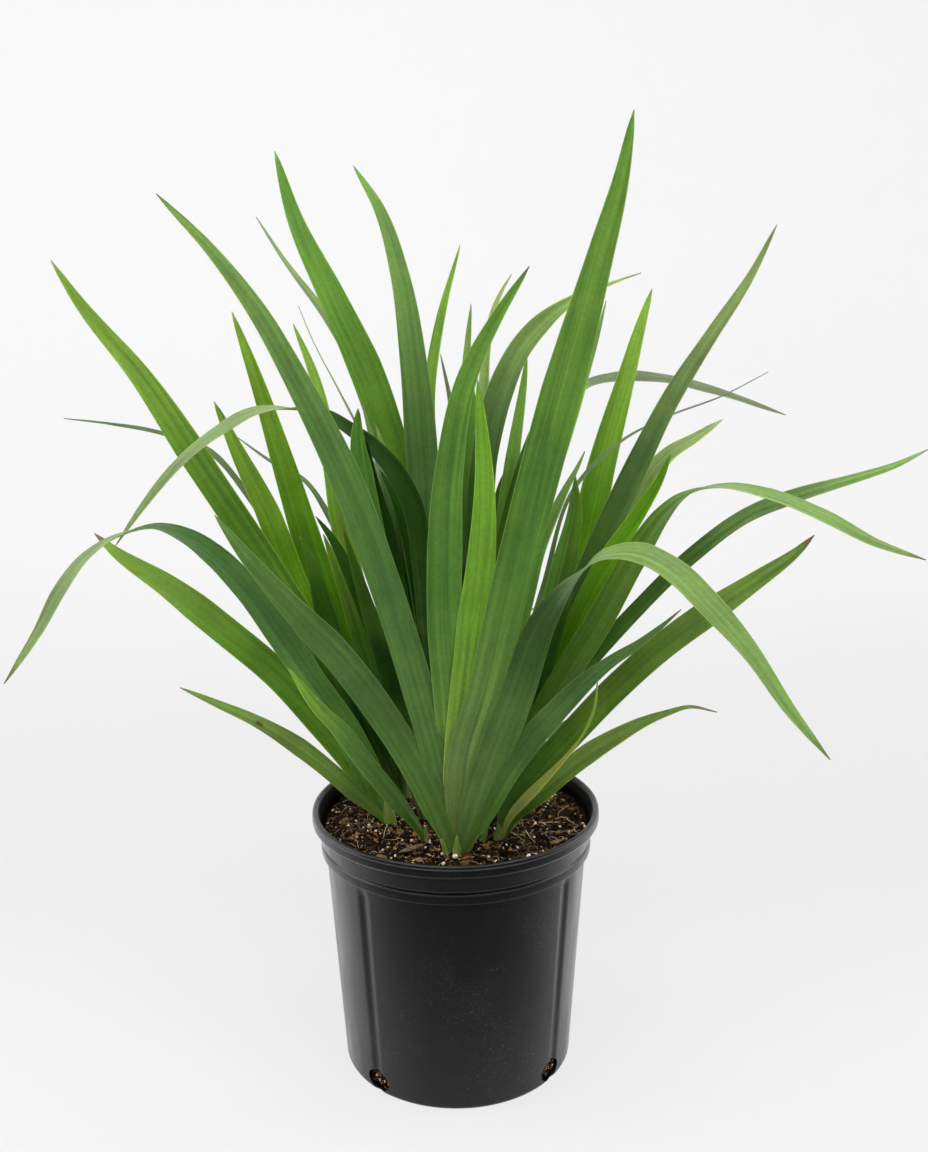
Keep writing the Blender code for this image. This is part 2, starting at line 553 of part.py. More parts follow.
def blade_faces(count):
    """Triangles of a blade, split along the same diagonals on its upper and lower faces."""
    faces = []
    for row in range(count - 1):
        a = row * 6
        b = a + 6
        for left, right in ((0, 1), (5, 4)):
            quad = (a + left, b + left, b + right, a + right)
            faces.extend(split_quad(quad, left == 0))
        for left, right in ((2, 1), (3, 4)):
            quad = (a + left, b + left, b + right, a + right)
            faces.extend(split_quad(quad, left == 3))
        faces.extend(split_quad((a + 5, b + 5, b + 0, a + 0), True))
        faces.extend(split_quad((a + 2, b + 2, b + 3, a + 3), True))
    end = (count - 1) * 6
    for base, outward in ((0, True), (end, False)):
        for trio in ((0, 1, 5), (1, 4, 5), (1, 2, 4), (2, 3, 4)):
            corner = tuple(base + index for index in trio)
            faces.append(corner if outward else corner[::-1])
    return faces


def split_quad(quad, forward):
    """Two triangles of a quad, cut from its first to its third corner, in either winding."""
    a, b, c, d = quad
    pair = [(a, b, c), (a, c, d)]
    return pair if forward else [trio[::-1] for trio in pair]


def make_fan(name, x, y, half_width, half_depth, leaves):
    """Fan: a crown with its leaves in layers from back to front, united into one body."""
    crown = crown_body(name, (x, y, half_width, half_depth), 0.0, None)
    blades = work_collection(name + "_blades")
    middle = (len(leaves) - 1) / 2
    layer = min(LAYER, LAYERS_SHARE * half_depth * MM / len(leaves))
    for index, leaf in enumerate(leaves):
        first_across = leaf[-1][0][0]
        seat = SEAT_SHARE * half_width * math.tanh((first_across - x) / SEAT_REACH)
        back = (middle - index) * layer
        root = np.array(((x + seat) * MM, y * MM + back, SOIL_TOP + LEAF_START))
        add_blade(f"{name}_blade_{index}", root, leaf, blades)
    apply_boolean(crown, "UNION", blades)
    dress(crown, LEAF_FINISH, LEAF_CREASE)


def main():
    clear_scene()
    make_pot()
    make_soil()
    for name, x, y, half_width, half_depth, leaves in FANS:
        make_fan(name, x, y, half_width, half_depth, leaves)


main()
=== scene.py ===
"""Potted walking iris: the dressed model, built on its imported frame.

Units are metres, +Z is up, the viewer stands on the -Y side and the origin is the middle of the pot's
underside. The leaves are laid out as in the frame: a midrib is a list of points (across, up) in
millimetres on the upright plane y = 0 as seen from VIEW, and each point is moved along its line of
sight to the leaf's own depth. Here every leaf gets a fine rounded section with pleats, veins and a tone
of its own, and the pot, the potting mix, its grains and its roots are worked out in full.
"""

import math

import bpy
import numpy as np
from mathutils import Matrix, Vector


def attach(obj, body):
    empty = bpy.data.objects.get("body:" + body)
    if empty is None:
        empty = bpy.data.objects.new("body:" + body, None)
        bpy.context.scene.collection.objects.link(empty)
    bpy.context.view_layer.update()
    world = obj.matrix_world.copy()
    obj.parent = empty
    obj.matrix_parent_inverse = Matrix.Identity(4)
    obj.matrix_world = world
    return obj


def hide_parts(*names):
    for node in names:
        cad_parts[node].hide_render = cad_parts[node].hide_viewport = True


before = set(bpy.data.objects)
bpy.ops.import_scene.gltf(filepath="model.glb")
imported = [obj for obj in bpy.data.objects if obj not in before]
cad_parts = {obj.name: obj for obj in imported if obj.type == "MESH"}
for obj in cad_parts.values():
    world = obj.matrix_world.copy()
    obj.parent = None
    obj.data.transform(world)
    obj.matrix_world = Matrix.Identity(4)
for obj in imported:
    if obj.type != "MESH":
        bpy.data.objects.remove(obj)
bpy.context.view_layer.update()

MM = 0.001
FULL_TURN = 2 * math.pi
NOISE_CELLS = 64  # the lattice of values repeats after this many cells

# Camera, fitted to the photograph
EYE = (0.006, -0.704, 0.465)
PITCH = math.radians(14.0)
ROLL = math.radians(-0.5)
LENS = 41.0
SENSOR = 36.0

# Pot
RIM_RADIUS = 82.5 * MM
POT_HEIGHT = 155.0 * MM
WALL_TOP_RADIUS = 75.0 * MM
WALL_TOP = 129.6 * MM
WALL_FOOT_RADIUS = 67.0 * MM
WALL_FOOT = 5.0 * MM
UNDER_BANDS = 124.0 * MM
WALL = 1.6 * MM
FLOOR = 2.0 * MM
FLUTE_DEPTH = 1.2 * MM
FLUTE_HALF_ANGLE = math.radians(3.6)
FLUTE_ANGLES = np.radians((-42.5, 54.0, 137.5, 234.0))  # from the front, towards +X
HOLE_ANGLES = np.radians((-42.3, 52.0, 138.7, 232.0))
HOLE_HALF_WIDTH = 8.0 * MM
HOLE_HALF_HEIGHT = 6.2 * MM
HOLE_HEIGHT = 6.9 * MM
HOLE_SIDES = 40
HOLE_INSIDE = 60.0 * MM  # the cutter runs between these two radii
HOLE_OUTSIDE = 72.0 * MM
POT_COLUMNS = 480
CORNER = 0.5 * MM  # rounding of the pot's moulded corners
CORNER_STEPS = 4
# painted highlight lines on the moulded edges, by height and share, and painted shade in the grooves and
# under the lip and bead, by height and reach
POT_HIGHLIGHT_LINES = ((152.9 * MM, 0.20), (138.0 * MM, 0.09), (135.7 * MM, 0.11))
POT_SHADED_RECESSES = ((146.2 * MM, 3.0 * MM), (136.9 * MM, 1.1 * MM), (127.8 * MM, 3.4 * MM))

# Potting mix
SOIL_TOP = 145.5 * MM
SOIL_MOUND = 1.8 * MM
SOIL_EDGE = 75.9 * MM  # where its top meets the pot's inner wall
SOIL_SPREAD = 70.0 * MM
SOIL_ROWS = 110
SOIL_COLUMNS = 320
SEAT_GAP = 0.35 * MM
CLODS = ((11.0, 1.2), (5.2, 0.9), (2.6, 0.6), (1.4, 0.35))  # size and height of each kind, in mm

# Blades
LEAF_START = 1.5 * MM  # height above the soil at which the leaf's line begins
ROOT_DEPTH = 8.0 * MM  # the blade itself starts this far back along its line, in the soil
LAYER = 2.6 * MM  # from one leaf of a fan to the next, front to back
LAYERS_SHARE = 1.5  # all of these together at most, in half depths of the crown
SEAT_SHARE = 0.28  # how far to its side a leaf's foot stands at most, in half widths of the crown
SEAT_REACH = 8.0  # mm to the side at which that is mostly reached
SEGMENT = 42.0 * MM  # this length and this bend count alike when the rows are spaced
BEND = math.radians(11.0)
CURVE_SAMPLES = 400
DEPTH_POWER = 1.2  # depth nears the tip's with the share of the run to this power
TAPER_POWER = 0.64  # the width falls to the tip with this power of the length left
BLADE_ROWS = 56
BLADE_COLUMNS = 27
EDGE_CROWDING = 0.4  # share of the columns' spacing that is drawn to the edges
EDGE_THICKNESS = 0.36 * MM
ROUND_START = 0.9  # share of the half width where the edge begins to round off
ROUND_REACH = 0.11  # and the share over which it would come to nothing
RIB_THICKNESS = 1.1 * MM
RIB_SPREAD = 0.42  # share of the half width over which the rib thins out
BLADE_FOLD = 0.10  # rise at the edge, in half widths
KEEL = 0.22  # rounds the fold's bottom, per half width
BASE_WIDTH = 0.44  # share of the width at the crown
BASE_LENGTH = 34.0 * MM
BASE_SWELL = 1.7 * MM  # extra thickness at the crown
SWELL_REACH = 24.0 * MM
TIP_WIDTH = 0.35 * MM
RIB_FADE = 3.0 * MM  # half width under which the rib gets thinner
SLIMMEST_RIB = 0.35
PLEAT = 0.035 * MM  # height of the broad lengthwise pleats
PLEAT_PITCH = 3.1  # mm from one to the next
WAVE = 0.35 * MM  # height of the waves along the edges
WAVE_PITCHES = (45, 80)  # mm from one to the next, least and most
WAVE_GROWTH = (20.0 * MM, 80.0 * MM)  # waves and pleats grow in over this part of the length
WAVE_HALF = 5.0 * MM  # and are full where the half width reaches this
SLIM_HALF = 2.2  # mm of half width under which the pale edge fades out

# Crowns and scales
CORE_DEPTH = 6.0 * MM  # of a crown's core in the soil
CORE_RISE = 15.0 * MM  # from there to its last ring
CORE_TIP = 9.5 * MM
CORE_SIDES = 48
CORE_ROWS = 12
SCALE_DEPTH = 5.0 * MM

VIEW = np.array((6.0, -704.0, 465.0)) * MM  # eye of the sight lines

# Fans: node name, crown centre x and y, half width and half depth, all in mm, and the leaves.
# A leaf: width, length of the taper to the tip, depth of the tip, turns in degrees from the crown to
# the tip (0 = upper face to the viewer, 90 = edge on, 180 = underside to the viewer), midrib points.
FANS = [
    ("fan_front", 1.5, -42.5, 10.5, 8.5, [
        (19.5, 150, -90, (8, 2, 10), [(0, 178), (-2, 215), (-5, 260), (-4.5, 300), (-1, 350), (10, 400),
            (24, 427), (41.6, 454)]),
        (19, 125, -80, (-5, 4, 10), [(3, 180), (7, 221), (9.5, 241), (11.4, 261), (14, 280), (16.6, 308),
            (17.7, 335.6), (16.4, 367), (14.1, 395.6)]),
        (18, 160, -78, (12, 8, 20), [(-10, 178), (-21, 223), (-37, 280), (-61, 350), (-81, 393),
            (-103, 434), (-124, 463), (-151, 492)]),
        (22.5, 128, -126, (6, 0, 12), [(7, 178), (19, 222), (30.5, 274), (49, 350), (61.5, 397), (78, 457),
            (89, 499), (94.5, 531)]),
        (18, 90, -74, (20, 10, 25), [(-20, 169), (-40, 205), (-64, 240), (-92, 272), (-115, 301),
            (-130, 323)]),
        (20.5, 110, -150, (172, 170, 166, 156, 108, 52, 40, 38, 42), [(18, 168), (35, 216), (52, 264),
            (68, 286.5), (84, 298.5), (104, 298.8), (116, 293), (127.5, 284.5), (138.5, 273.3),
            (165, 243.5), (191.5, 205.5), (215, 177)]),
        (14.5, 95, -76, (20, 15, 60), [(16, 145), (30, 171), (43.5, 191), (62, 212.3), (78.7, 229),
            (90.4, 238.4), (104.3, 247.4), (114, 255.4), (126.8, 267.2)]),
    ]),
    ("fan_front_small", -16.5, -31.0, 4.5, 4.0, [
        (11.5, 55, -58, (30, 20, 30), [(-25, 141), (-36, 156), (-53.5, 180), (-65, 197), (-77.5, 211),
            (-94, 236)]),
    ]),
    ("fan_right", 24.0, -30.0, 7.5, 6.5, [
        (15.5, 66, -84, (15, 8, 20), [(30, 147), (47, 171), (66.2, 193.7), (94, 224.3), (121.6, 249.5),
            (138, 262), (168, 283.5), (190, 300), (198.7, 309)]),
        (13, 80, -92, (30, 25, 70), [(33, 143), (51, 160), (77, 182.2), (93.5, 192.8), (107, 200.3),
            (120.5, 205.8), (134, 209.6), (149, 206.5)]),
        (6.5, 90, -74, (20, 40, 70, 35), [(30, 140), (46, 160), (62, 178), (74, 195), (79, 208),
            (81, 227)]),
    ]),
    ("fan_left", -38.5, -2.0, 10.0, 7.0, [
        (10, 50, 8, (10, 15), [(-38, 160), (-50, 187), (-66, 224), (-78, 248), (-88, 268)]),
        (16.5, 70, 10, (15, 5, 20), [(-45, 158), (-57, 177), (-78, 204.5), (-99, 230.5), (-127, 256.5),
            (-158, 283), (-187, 304), (-196.5, 313.5)]),
        (16.5, 120, -72, (168, 166, 163, 160, 154, 118, 70, 40, 30), [(-44, 155), (-59.5, 193), (-81, 228),
            (-98.5, 256.5), (-114.3, 280.6), (-131, 299.5), (-146, 310.8), (-162, 316.3), (-181.5, 312.5),
            (-201.5, 300.5), (-218, 281), (-231.5, 258.5), (-254, 227)]),
        (11, 75, -24, (25, 20, 40), [(-48, 149), (-57, 157.5), (-68, 168.8), (-90, 188.2), (-114, 204),
            (-134, 213.8), (-155, 224)]),
    ]),
    ("fan_inner_left", -17.0, 0.0, 8.0, 7.0, [
        (6.5, 40, 26, (20, 30), [(-12, 200), (-18, 280), (-26, 335), (-36, 357), (-41, 372)]),
        (6.5, 80, 21, (10, 20), [(-16, 190), (-26, 270), (-36, 335), (-44, 368), (-48.4, 386)]),
        (10, 60, 15, (10, 15), [(-14, 200), (-17, 268), (-26, 315), (-31.5, 332), (-39.5, 348)]),
        (12.5, 150, 12, (165, 163, 160, 157, 152, 112, 52, 38, 36), [(-14, 220), (-17, 290), (-23, 330.4),
            (-31, 346), (-44, 361), (-54, 368.5), (-67, 376.8), (-86, 380.5), (-104, 379.5), (-126, 368.5),
            (-148, 351.5), (-169, 328), (-185.5, 306)]),
        (12, 50, 4, (12, 20), [(-17, 190), (-28, 260), (-37, 310), (-44.5, 345), (-47, 366)]),
        (13, 34, -2, (10, 25), [(-20, 180), (-30, 240), (-41, 300), (-49, 345), (-51, 365), (-50, 380.5)]),
        (11, 60, -6, (15, 20), [(-30, 200), (-43, 253.5), (-54.5, 283), (-68, 312), (-74.7, 321.7)]),
        (10, 60, -10, (15, 25), [(-26, 180), (-40, 240), (-52, 285), (-60, 315)]),
    ]),
    ("fan_centre", 10.0, 4.0, 8.0, 6.5, [
        (11, 50, 28, (5, 15), [(16, 200), (22, 280), (25, 310), (26.5, 335), (30.9, 350)]),
        (8.5, 60, 20, (10, 20), [(18, 220), (24, 290), (29, 325), (34.5, 364), (39, 395), (40.5, 409)]),
        (11, 60, 11, (10, 15), [(18, 220), (26, 290), (32, 320), (37, 345), (44.6, 373)]),
        (12, 60, 2, (5, 10), [(7, 200), (9, 280), (11, 340), (11.5, 372), (12, 392)]),
        (16.5, 92, -34, (158, 157, 156, 155, 152, 146, 92), [(11, 220), (15, 300), (18.5, 357), (25.5, 386),
            (39, 414), (50.5, 426.5), (68, 438.2), (84, 444.5), (100, 450)]),
        (10.5, 80, -16, (15, 20, 35), [(23, 180), (35, 250), (48, 303), (56, 323), (61.5, 335), (68, 347.5),
            (72, 356.5)]),
    ]),
    ("fan_inner_right", 30.0, 10.0, 7.5, 7.0, [
        (13.5, 160, 20, (20, 10, 20), [(38, 180), (55, 240), (79, 300), (101, 350), (118, 385), (137, 416),
            (158, 449), (170, 474)]),
        (14.5, 75, 27, (15, 8, 25), [(38, 180), (58, 245), (84, 303), (100, 329), (108, 344), (118, 355),
            (131, 363), (145.8, 373)]),
        (12.5, 75, 2, (15, 5, 15), [(38, 178), (60, 238), (88, 300), (102, 322), (112, 339),
            (118.7, 354.5)]),
        (9, 50, 6, (20, 30), [(40, 215), (49, 250), (54.5, 276), (60, 300), (65, 323), (66.7, 341.8)]),
        (10.5, 70, -4, (15, 30), [(40, 190), (50, 230), (60, 270), (67, 309), (68.8, 325), (67, 343)]),
        (9, 90, 30, (20, 15, 30), [(42, 185), (74, 234), (104, 269.5), (133, 299), (161, 320.2),
            (188, 331.2), (220, 340.6), (241, 347.5), (258, 356)]),
        (16, 120, -34, (166, 165, 164, 162, 152, 98, 58, 44, 34), [(40, 180), (68, 238), (81, 260),
            (96, 289), (107, 308.7), (115.3, 321), (123.3, 329.2), (133, 334.4), (150, 336), (171, 332),
            (204, 319), (233, 304), (261, 294.3)]),
    ]),
    ("fan_back_left", -30.0, 30.0, 9.5, 7.5, [
        (7, 160, 130, (30, 50, 60), [(-45, 190), (-80, 275), (-112, 335), (-131, 358), (-156, 368),
            (-184, 373.5), (-208, 376.5)]),
        (6, 120, 116, (25, 50), [(-42, 230), (-55, 290), (-67.5, 321.5), (-79.5, 341), (-99, 353),
            (-116, 366)]),
        (16, 140, 98, (5, 10), [(-36, 180), (-60, 250), (-77.5, 300), (-91, 350), (-102.5, 392),
            (-115, 432)]),
        (12, 110, 86, (5, 15), [(-32, 185), (-50, 265), (-59, 304), (-65, 350), (-73, 398), (-83, 425.5)]),
        (14, 75, 72, (8, 15), [(-40, 180), (-64, 230), (-86, 280), (-102.5, 328), (-114.5, 355),
            (-127, 385)]),
        (16, 125, 46, (10, 12), [(-40, 185), (-66, 230), (-100, 290), (-136, 350), (-165, 398), (-196, 439),
            (-208, 459)]),
        (12, 50, 34, (15, 20), [(-38, 180), (-58, 225), (-72, 268), (-79, 298), (-84, 311)]),
        (10, 50, 27, (15, 20), [(-34, 190), (-49, 240), (-62, 285), (-71, 312)]),
    ]),
    ("fan_back_right", 18.0, 36.0, 8.0, 7.0, [
        (12, 150, 128, (150, 140, 62, 42), [(26, 200), (40, 290), (52, 348), (61, 377), (72, 391.5),
            (88, 395.8), (110, 395.3), (140, 388.5), (179.5, 375)]),
        (16.5, 125, 104, (5, 10), [(30, 190), (52, 240), (72, 305), (81.5, 350), (93.5, 396), (101, 425),
            (106, 442)]),
        (5, 60, 80, (15, 30), [(26, 200), (50, 320), (70, 390), (79, 423), (82, 436)]),
        (5, 100, 46, (40, 50, 70, 84), [(28, 200), (50, 280), (68.6, 339), (90.7, 361), (117, 375),
            (144, 385), (169, 398)]),
    ]),
    ("fan_rear", -6.0, 42.0, 9.5, 8.5, [
        (8, 140, 160, (20, 45), [(-12, 220), (-24, 300), (-34, 360), (-50, 400), (-65, 428), (-87, 459),
            (-100, 480)]),
        (5, 90, 150, (20, 50, 76, 86), [(-16, 230), (-32, 310), (-44, 355), (-60, 390), (-74, 419),
            (-80, 435)]),
        (8.5, 100, 142, (25, 35), [(-4, 200), (-8, 280), (-11, 350), (-12, 385), (-9, 408), (-5, 428),
            (5.5, 465)]),
        (18.3, 140, 132, (5, 12), [(-10, 200), (-18, 270), (-28, 340), (-45, 400), (-62, 439), (-80, 479),
            (-89, 512.5)]),
        (7, 70, 124, (10, 20), [(4, 250), (6, 350), (8, 401), (9.4, 418), (11, 435)]),
        (17.5, 165, 116, (5, 10), [(-9, 200), (-14, 300), (-16, 350), (-20, 405), (-26, 449), (-36, 483),
            (-49, 505)]),
        (5, 60, 108, (20, 35), [(2, 250), (3, 340), (-0.7, 384.5), (-5.5, 409)]),
        (6.5, 70, 44, (15, 20), [(10, 210), (14, 300), (17.5, 387), (18.4, 406), (20.5, 421), (23.7, 434),
            (28, 443), (32.4, 450)]),
    ]),
    ("fan_rear_left", -26.0, 55.0, 8.5, 7.5, [
        (12, 80, 146, (20, 30, 50), [(-28, 214), (-32, 244), (-40, 264), (-52, 262)]),
        (14, 90, 214, (20, 40, 60), [(-24, 204), (-26, 240), (-30, 290), (-38, 318), (-50, 314)]),
        (11, 120, 196, (30, 20, 40), [(-24, 210), (-28, 340), (-44, 396), (-60, 434)]),
        (11, 110, 164, (40, 25, 40), [(-30, 210), (-40, 285), (-61, 350), (-79, 391), (-98, 424)]),
        (11, 90, 132, (30, 25, 50), [(-40, 204), (-78, 214), (-100, 233), (-127, 258), (-156, 282)]),
    ]),
    ("fan_rear_right", 12.0, 58.0, 8.5, 7.5, [
        (12, 80, 148, (20, 30, 50), [(16, 214), (24, 246), (34, 268), (46, 268)]),
        (13, 80, 208, (20, 40, 60), [(10, 206), (9, 240), (10, 296), (18, 326), (28, 322)]),
        (14, 110, 184, (30, 20, 30), [(6, 210), (2, 290), (1, 340), (11, 384)]),
        (13, 120, 156, (40, 25, 35), [(16, 206), (32, 270), (49.5, 350), (61.5, 395), (76, 448)]),
        (9, 80, 118, (30, 25, 45), [(30, 194), (62, 197), (84, 216), (110, 239), (136, 261), (162, 280)]),
    ]),
]

# Leaf greens, and the few that are not green
# the deep, dark and shade greens are painted shade inside the tuft and low on the leaves;
# the pale bluish ones, grey, ash, silver, frost and chalk, are painted sheen on the upper leaves
TONES = {
    "deep": (0.012, 0.058, 0.002),
    "dark": (0.028, 0.098, 0.006),
    "moss": (0.055, 0.150, 0.010),
    "shade": (0.062, 0.138, 0.024),
    "dusty": (0.080, 0.172, 0.040),
    "fern": (0.088, 0.168, 0.020),
    "blue": (0.092, 0.212, 0.050),
    "slate": (0.120, 0.240, 0.056),
    "mid": (0.112, 0.262, 0.038),
    "leafy": (0.120, 0.255, 0.024),
    "fresh": (0.165, 0.320, 0.056),
    "grass": (0.240, 0.390, 0.062),
    "pea": (0.235, 0.430, 0.070),
    "yellow": (0.195, 0.410, 0.036),
    "lime": (0.370, 0.540, 0.100),
    "loden": (0.048, 0.110, 0.015),
    "sunny": (0.098, 0.240, 0.006),
    "lemon": (0.145, 0.330, 0.010),
    "bright": (0.175, 0.310, 0.032),
    "light": (0.195, 0.320, 0.085),
    "frost": (0.210, 0.350, 0.105),
    "silver": (0.215, 0.310, 0.125),
    "chalk": (0.310, 0.430, 0.180),
    "grey": (0.125, 0.190, 0.085),
    "ash": (0.165, 0.215, 0.120),
    "sage": (0.155, 0.250, 0.055),
    "straw": (0.330, 0.370, 0.085),
    "sheath": (0.310, 0.420, 0.140),
    "pith": (0.300, 0.420, 0.125),
    "husk": (0.330, 0.210, 0.090),
}
YOUNG_BASE = (0.310, 0.410, 0.110)  # blades are paler where they leave the soil
PALE_SHARE = {  # how much paler, by the tone of the foot
    "pea": 0.95, "light": 0.95, "lime": 0.5, "pith": 0.1, "sheath": 0.6, "husk": 0.4, "leafy": 0.5,
}
PALE_USUAL = 0.3  # with any other tone
PALE_REACH = 22.0 * MM  # length over which this fades to 1/e
TONE_JITTER = 0.04  # of each leaf's red, green and blue
DRY_TIP = (0.210, 0.130, 0.055)  # tone of a dry tip

# For each leaf of a fan, in the fans' order: tones at the foot, half way and at the top, mm of dry tip.
# On an arched leaf the second tone is painted shade where it rises, the third painted light past the bend.
LEAF_TONES = {
    "fan_front": [("pea", "mid", "fresh", 2), ("lime", "yellow", "yellow", 0),
        ("slate", "blue", "frost", 4), ("light", "mid", "fresh", 0), ("mid", "dusty", "slate", 5),
        ("slate", "loden", "light", 0), ("moss", "dusty", "shade", 7)],
    "fan_front_small": [("moss", "slate", "grass", 3)],
    "fan_right": [("dark", "fern", "sage", 10), ("moss", "sage", "sage", 16),
        ("straw", "straw", "grass", 3)],
    "fan_left": [("deep", "deep", "moss", 2), ("leafy", "leafy", "grass", 9), ("mid", "blue", "silver", 1),
        ("fern", "sage", "sage", 3)],
    "fan_inner_left": [("dark", "mid", "frost", 2), ("deep", "deep", "silver", 2),
        ("deep", "deep", "dark", 2), ("deep", "dark", "silver", 4), ("deep", "deep", "deep", 2),
        ("dark", "shade", "mid", 3), ("deep", "dark", "dark", 2), ("dark", "deep", "moss", 2)],
    "fan_centre": [("dark", "dark", "moss", 2), ("dark", "mid", "fresh", 3), ("dark", "moss", "moss", 2),
        ("deep", "deep", "mid", 0), ("deep", "dark", "chalk", 3), ("deep", "mid", "light", 3)],
    "fan_inner_right": [("dusty", "dusty", "silver", 0), ("mid", "frost", "chalk", 0),
        ("sunny", "lemon", "lemon", 0), ("dark", "mid", "mid", 2), ("deep", "dark", "leafy", 2),
        ("moss", "shade", "light", 5), ("moss", "leafy", "frost", 4)],
    "fan_back_left": [("grey", "grey", "grey", 6), ("grey", "grey", "grey", 5),
        ("sunny", "sunny", "bright", 5), ("sunny", "bright", "grass", 5), ("sunny", "lemon", "bright", 4),
        ("moss", "leafy", "grass", 5), ("dark", "dark", "moss", 3), ("dark", "moss", "bright", 1)],
    "fan_back_right": [("mid", "ash", "ash", 5), ("moss", "sunny", "grass", 5),
        ("bright", "light", "light", 3), ("dusty", "dusty", "grey", 4)],
    "fan_rear": [("grey", "grey", "silver", 6), ("grey", "grey", "silver", 4),
        ("sunny", "sunny", "bright", 0), ("leafy", "leafy", "fresh", 0), ("light", "light", "light", 3),
        ("shade", "dusty", "frost", 4), ("dark", "grey", "grey", 3), ("mid", "light", "chalk", 3)],
    "fan_rear_left": [("mid", "mid", "fresh", 4), ("mid", "leafy", "bright", 4), ("dark", "mid", "mid", 5),
        ("mid", "mid", "fresh", 5), ("dusty", "blue", "mid", 4)],
    "fan_rear_right": [("mid", "mid", "fresh", 4), ("mid", "leafy", "bright", 5), ("dark", "mid", "mid", 4),
        ("blue", "mid", "fresh", 5), ("dusty", "blue", "mid", 4)],
}

BROWN_SPOT = (-0.6, 0.68)  # on the low left leaf: mm off its midrib, share of its length
SPOT_TONE = (0.10, 0.045, 0.015)

# Short scales round the crowns: foot (x, y), lean of the tip (x, y), height and width in mm, tone
SCALES = [
    (-37.0, -9.0, -2, -4, 25, 11, "sheath"),
    (15.0, -30.5, 7, 1, 24, 9, "moss"),
    (0.6, -50.0, 0.4, -0.8, 17, 7, "pith"),
    (-4.6, -48.0, -3, -2, 15, 6, "sheath"),
    (38.0, 6.0, 7, -3, 19, 7, "husk"),
    (-24.0, 48.0, -5, 8, 26, 9, "sheath"),
    (20.0, 52.0, 5, 9, 22, 8, "husk"),
    (-40.0, 36.0, -9, 4, 25, 8, "sheath"),
]

# Grains and roots that show in the photograph: places on the soil and sizes in mm, roots by thickness
PERLITE_PLACES = np.array([
    (-52.7, -13.7), (-45.1, -19.0), (-40.8, -25.8), (-6.9, -47.8), (-6.3, -61.0), (-0.1, -52.9),
    (12.7, -44.8), (14.1, -62.3), (34.2, -40.1), (39.7, -49.1), (44.0, -49.5), (59.5, -11.9),
    (60.0, -28.4), (58.2, -40.0), (73.1, -6.4), (22.1, -18.7), (-17.4, -13.9), (-14.3, -34.7),
    (-24.2, -30.7), (-32.7, -48.2), (4.7, -53.6),
])
PERLITE_SIZES = np.array([
    1.4, 1.6, 1.1, 2.3, 2.4, 2.9, 1.5, 1.2, 1.5, 2.6, 2.3,
    1.6, 1.5, 1.7, 1.8, 1.6, 1.5, 1.3, 2.1, 1.8, 1.0,
])
ROOT_PLACES = [
    (0.45, [(39.5, 0.6), (47.1, -6.9), (54.9, -8.1), (66.5, -6.3)]),
    (0.50, [(36.8, -9.8), (39.8, -21.1), (42.3, -30.0), (48.5, -41.7)]),
    (0.45, [(31.6, -19.9), (35.6, -27.9), (38.8, -33.9)]),
    (0.40, [(62.0, -24.5), (66.4, -17.6), (70.8, -16.7)]),
    (0.35, [(49.3, -28.2), (54.5, -27.3), (59.4, -30.4)]),
    (0.40, [(43.3, 4.8), (45.4, -5.9), (45.9, -12.1)]),
    (0.40, [(55.2, -3.6), (61.5, -2.4), (68.1, -7.4)]),
    (0.35, [(-38.4, -12.4), (-39.7, -19.5), (-40.6, -26.4)]),
]
# Bark chips that show: middle (x, y), length, width, turn in degrees, tone
BARK_PLACES = [
    (-23.4, -43.5, 17.5, 4.0, 35, (0.150, 0.105, 0.062)),
    (-19.6, -54.4, 5.5, 4.5, 70, (0.20, 0.12, 0.065)),
    (55.6, -36.1, 7.0, 3.2, 25, (0.30, 0.18, 0.08)),
    (-37.3, -8.3, 6.0, 3.5, 140, (0.17, 0.10, 0.055)),
    (-31.4, -22.6, 5.0, 3.0, 20, (0.15, 0.09, 0.05)),
    (-48.7, -15.2, 3.0, 2.4, 10, (0.33, 0.22, 0.10)),
    (-40.0, -50.5, 6.5, 3.4, 150, (0.18, 0.11, 0.06)),
]
LOOSE_REACH = 74.5 * MM  # loose bits lie within this radius
PEAT_COUNT = 4800
HOLE_CRUMBS = 60  # in each drain hole
PERLITE_COUNT = 70
BARK_COUNT = 110
FIBRE_COUNT = 300
PEAT_SIZE = 0.66  # mm, the middle one, and its spread in natural logarithms
PEAT_SPREAD = 0.48
PEAT_SIZES = (0.28, 2.2)  # least and most
SMALL_CRUMB = 0.9
PEAT_TONE = (0.0024, 0.0010, 0.0004)
RUST_TONE = (0.240, 0.118, 0.040)
TAN_TONE = (0.58, 0.43, 0.25)
TAN_SHARE = 0.13  # of the small crumbs
PERLITE_TONE = (0.90, 0.84, 0.70)
BARK_TONE = (0.075, 0.040, 0.018)
ROOT_TONE = (0.62, 0.47, 0.31)
FIBRE_TONE = (0.62, 0.46, 0.28)

# Colours of the skins
WARM_TONE = (0.17, 0.26, 0.03)  # slow patches of a leaf
# painted shade in the crease by a leaf's midrib
CREASE_SHADE_TONE = (0.030, 0.085, 0.030)
FRECKLE_TONE = (0.16, 0.15, 0.05)
EDGE_GAIN = (2.2, 1.75, 2.4)  # on a leaf's own tone along its rim
THROUGH_GAIN = (1.9, 1.7, 0.8)  # on the light that passes through a leaf
THROUGH_SHARE = 0.38
PLASTIC_TONES = ((0.0030, 0.0033, 0.0040), (0.0065, 0.0067, 0.0074))
# painted shade in the pot's grooves and under its lip and bead
RECESS_SHADE_TONE = (0.0004, 0.0004, 0.0005)
# painted highlight on the moulded edges of the pot
LEDGE_HIGHLIGHT_TONE = (0.26, 0.26, 0.27)
SCUFF_TONE = (0.30, 0.30, 0.30)
DUST_TONE = (0.26, 0.24, 0.20)
BED_TONES = ((0.0010, 0.0006, 0.0003), (0.040, 0.020, 0.008))
WHITE = (1.0, 1.0, 1.0, 1.0)

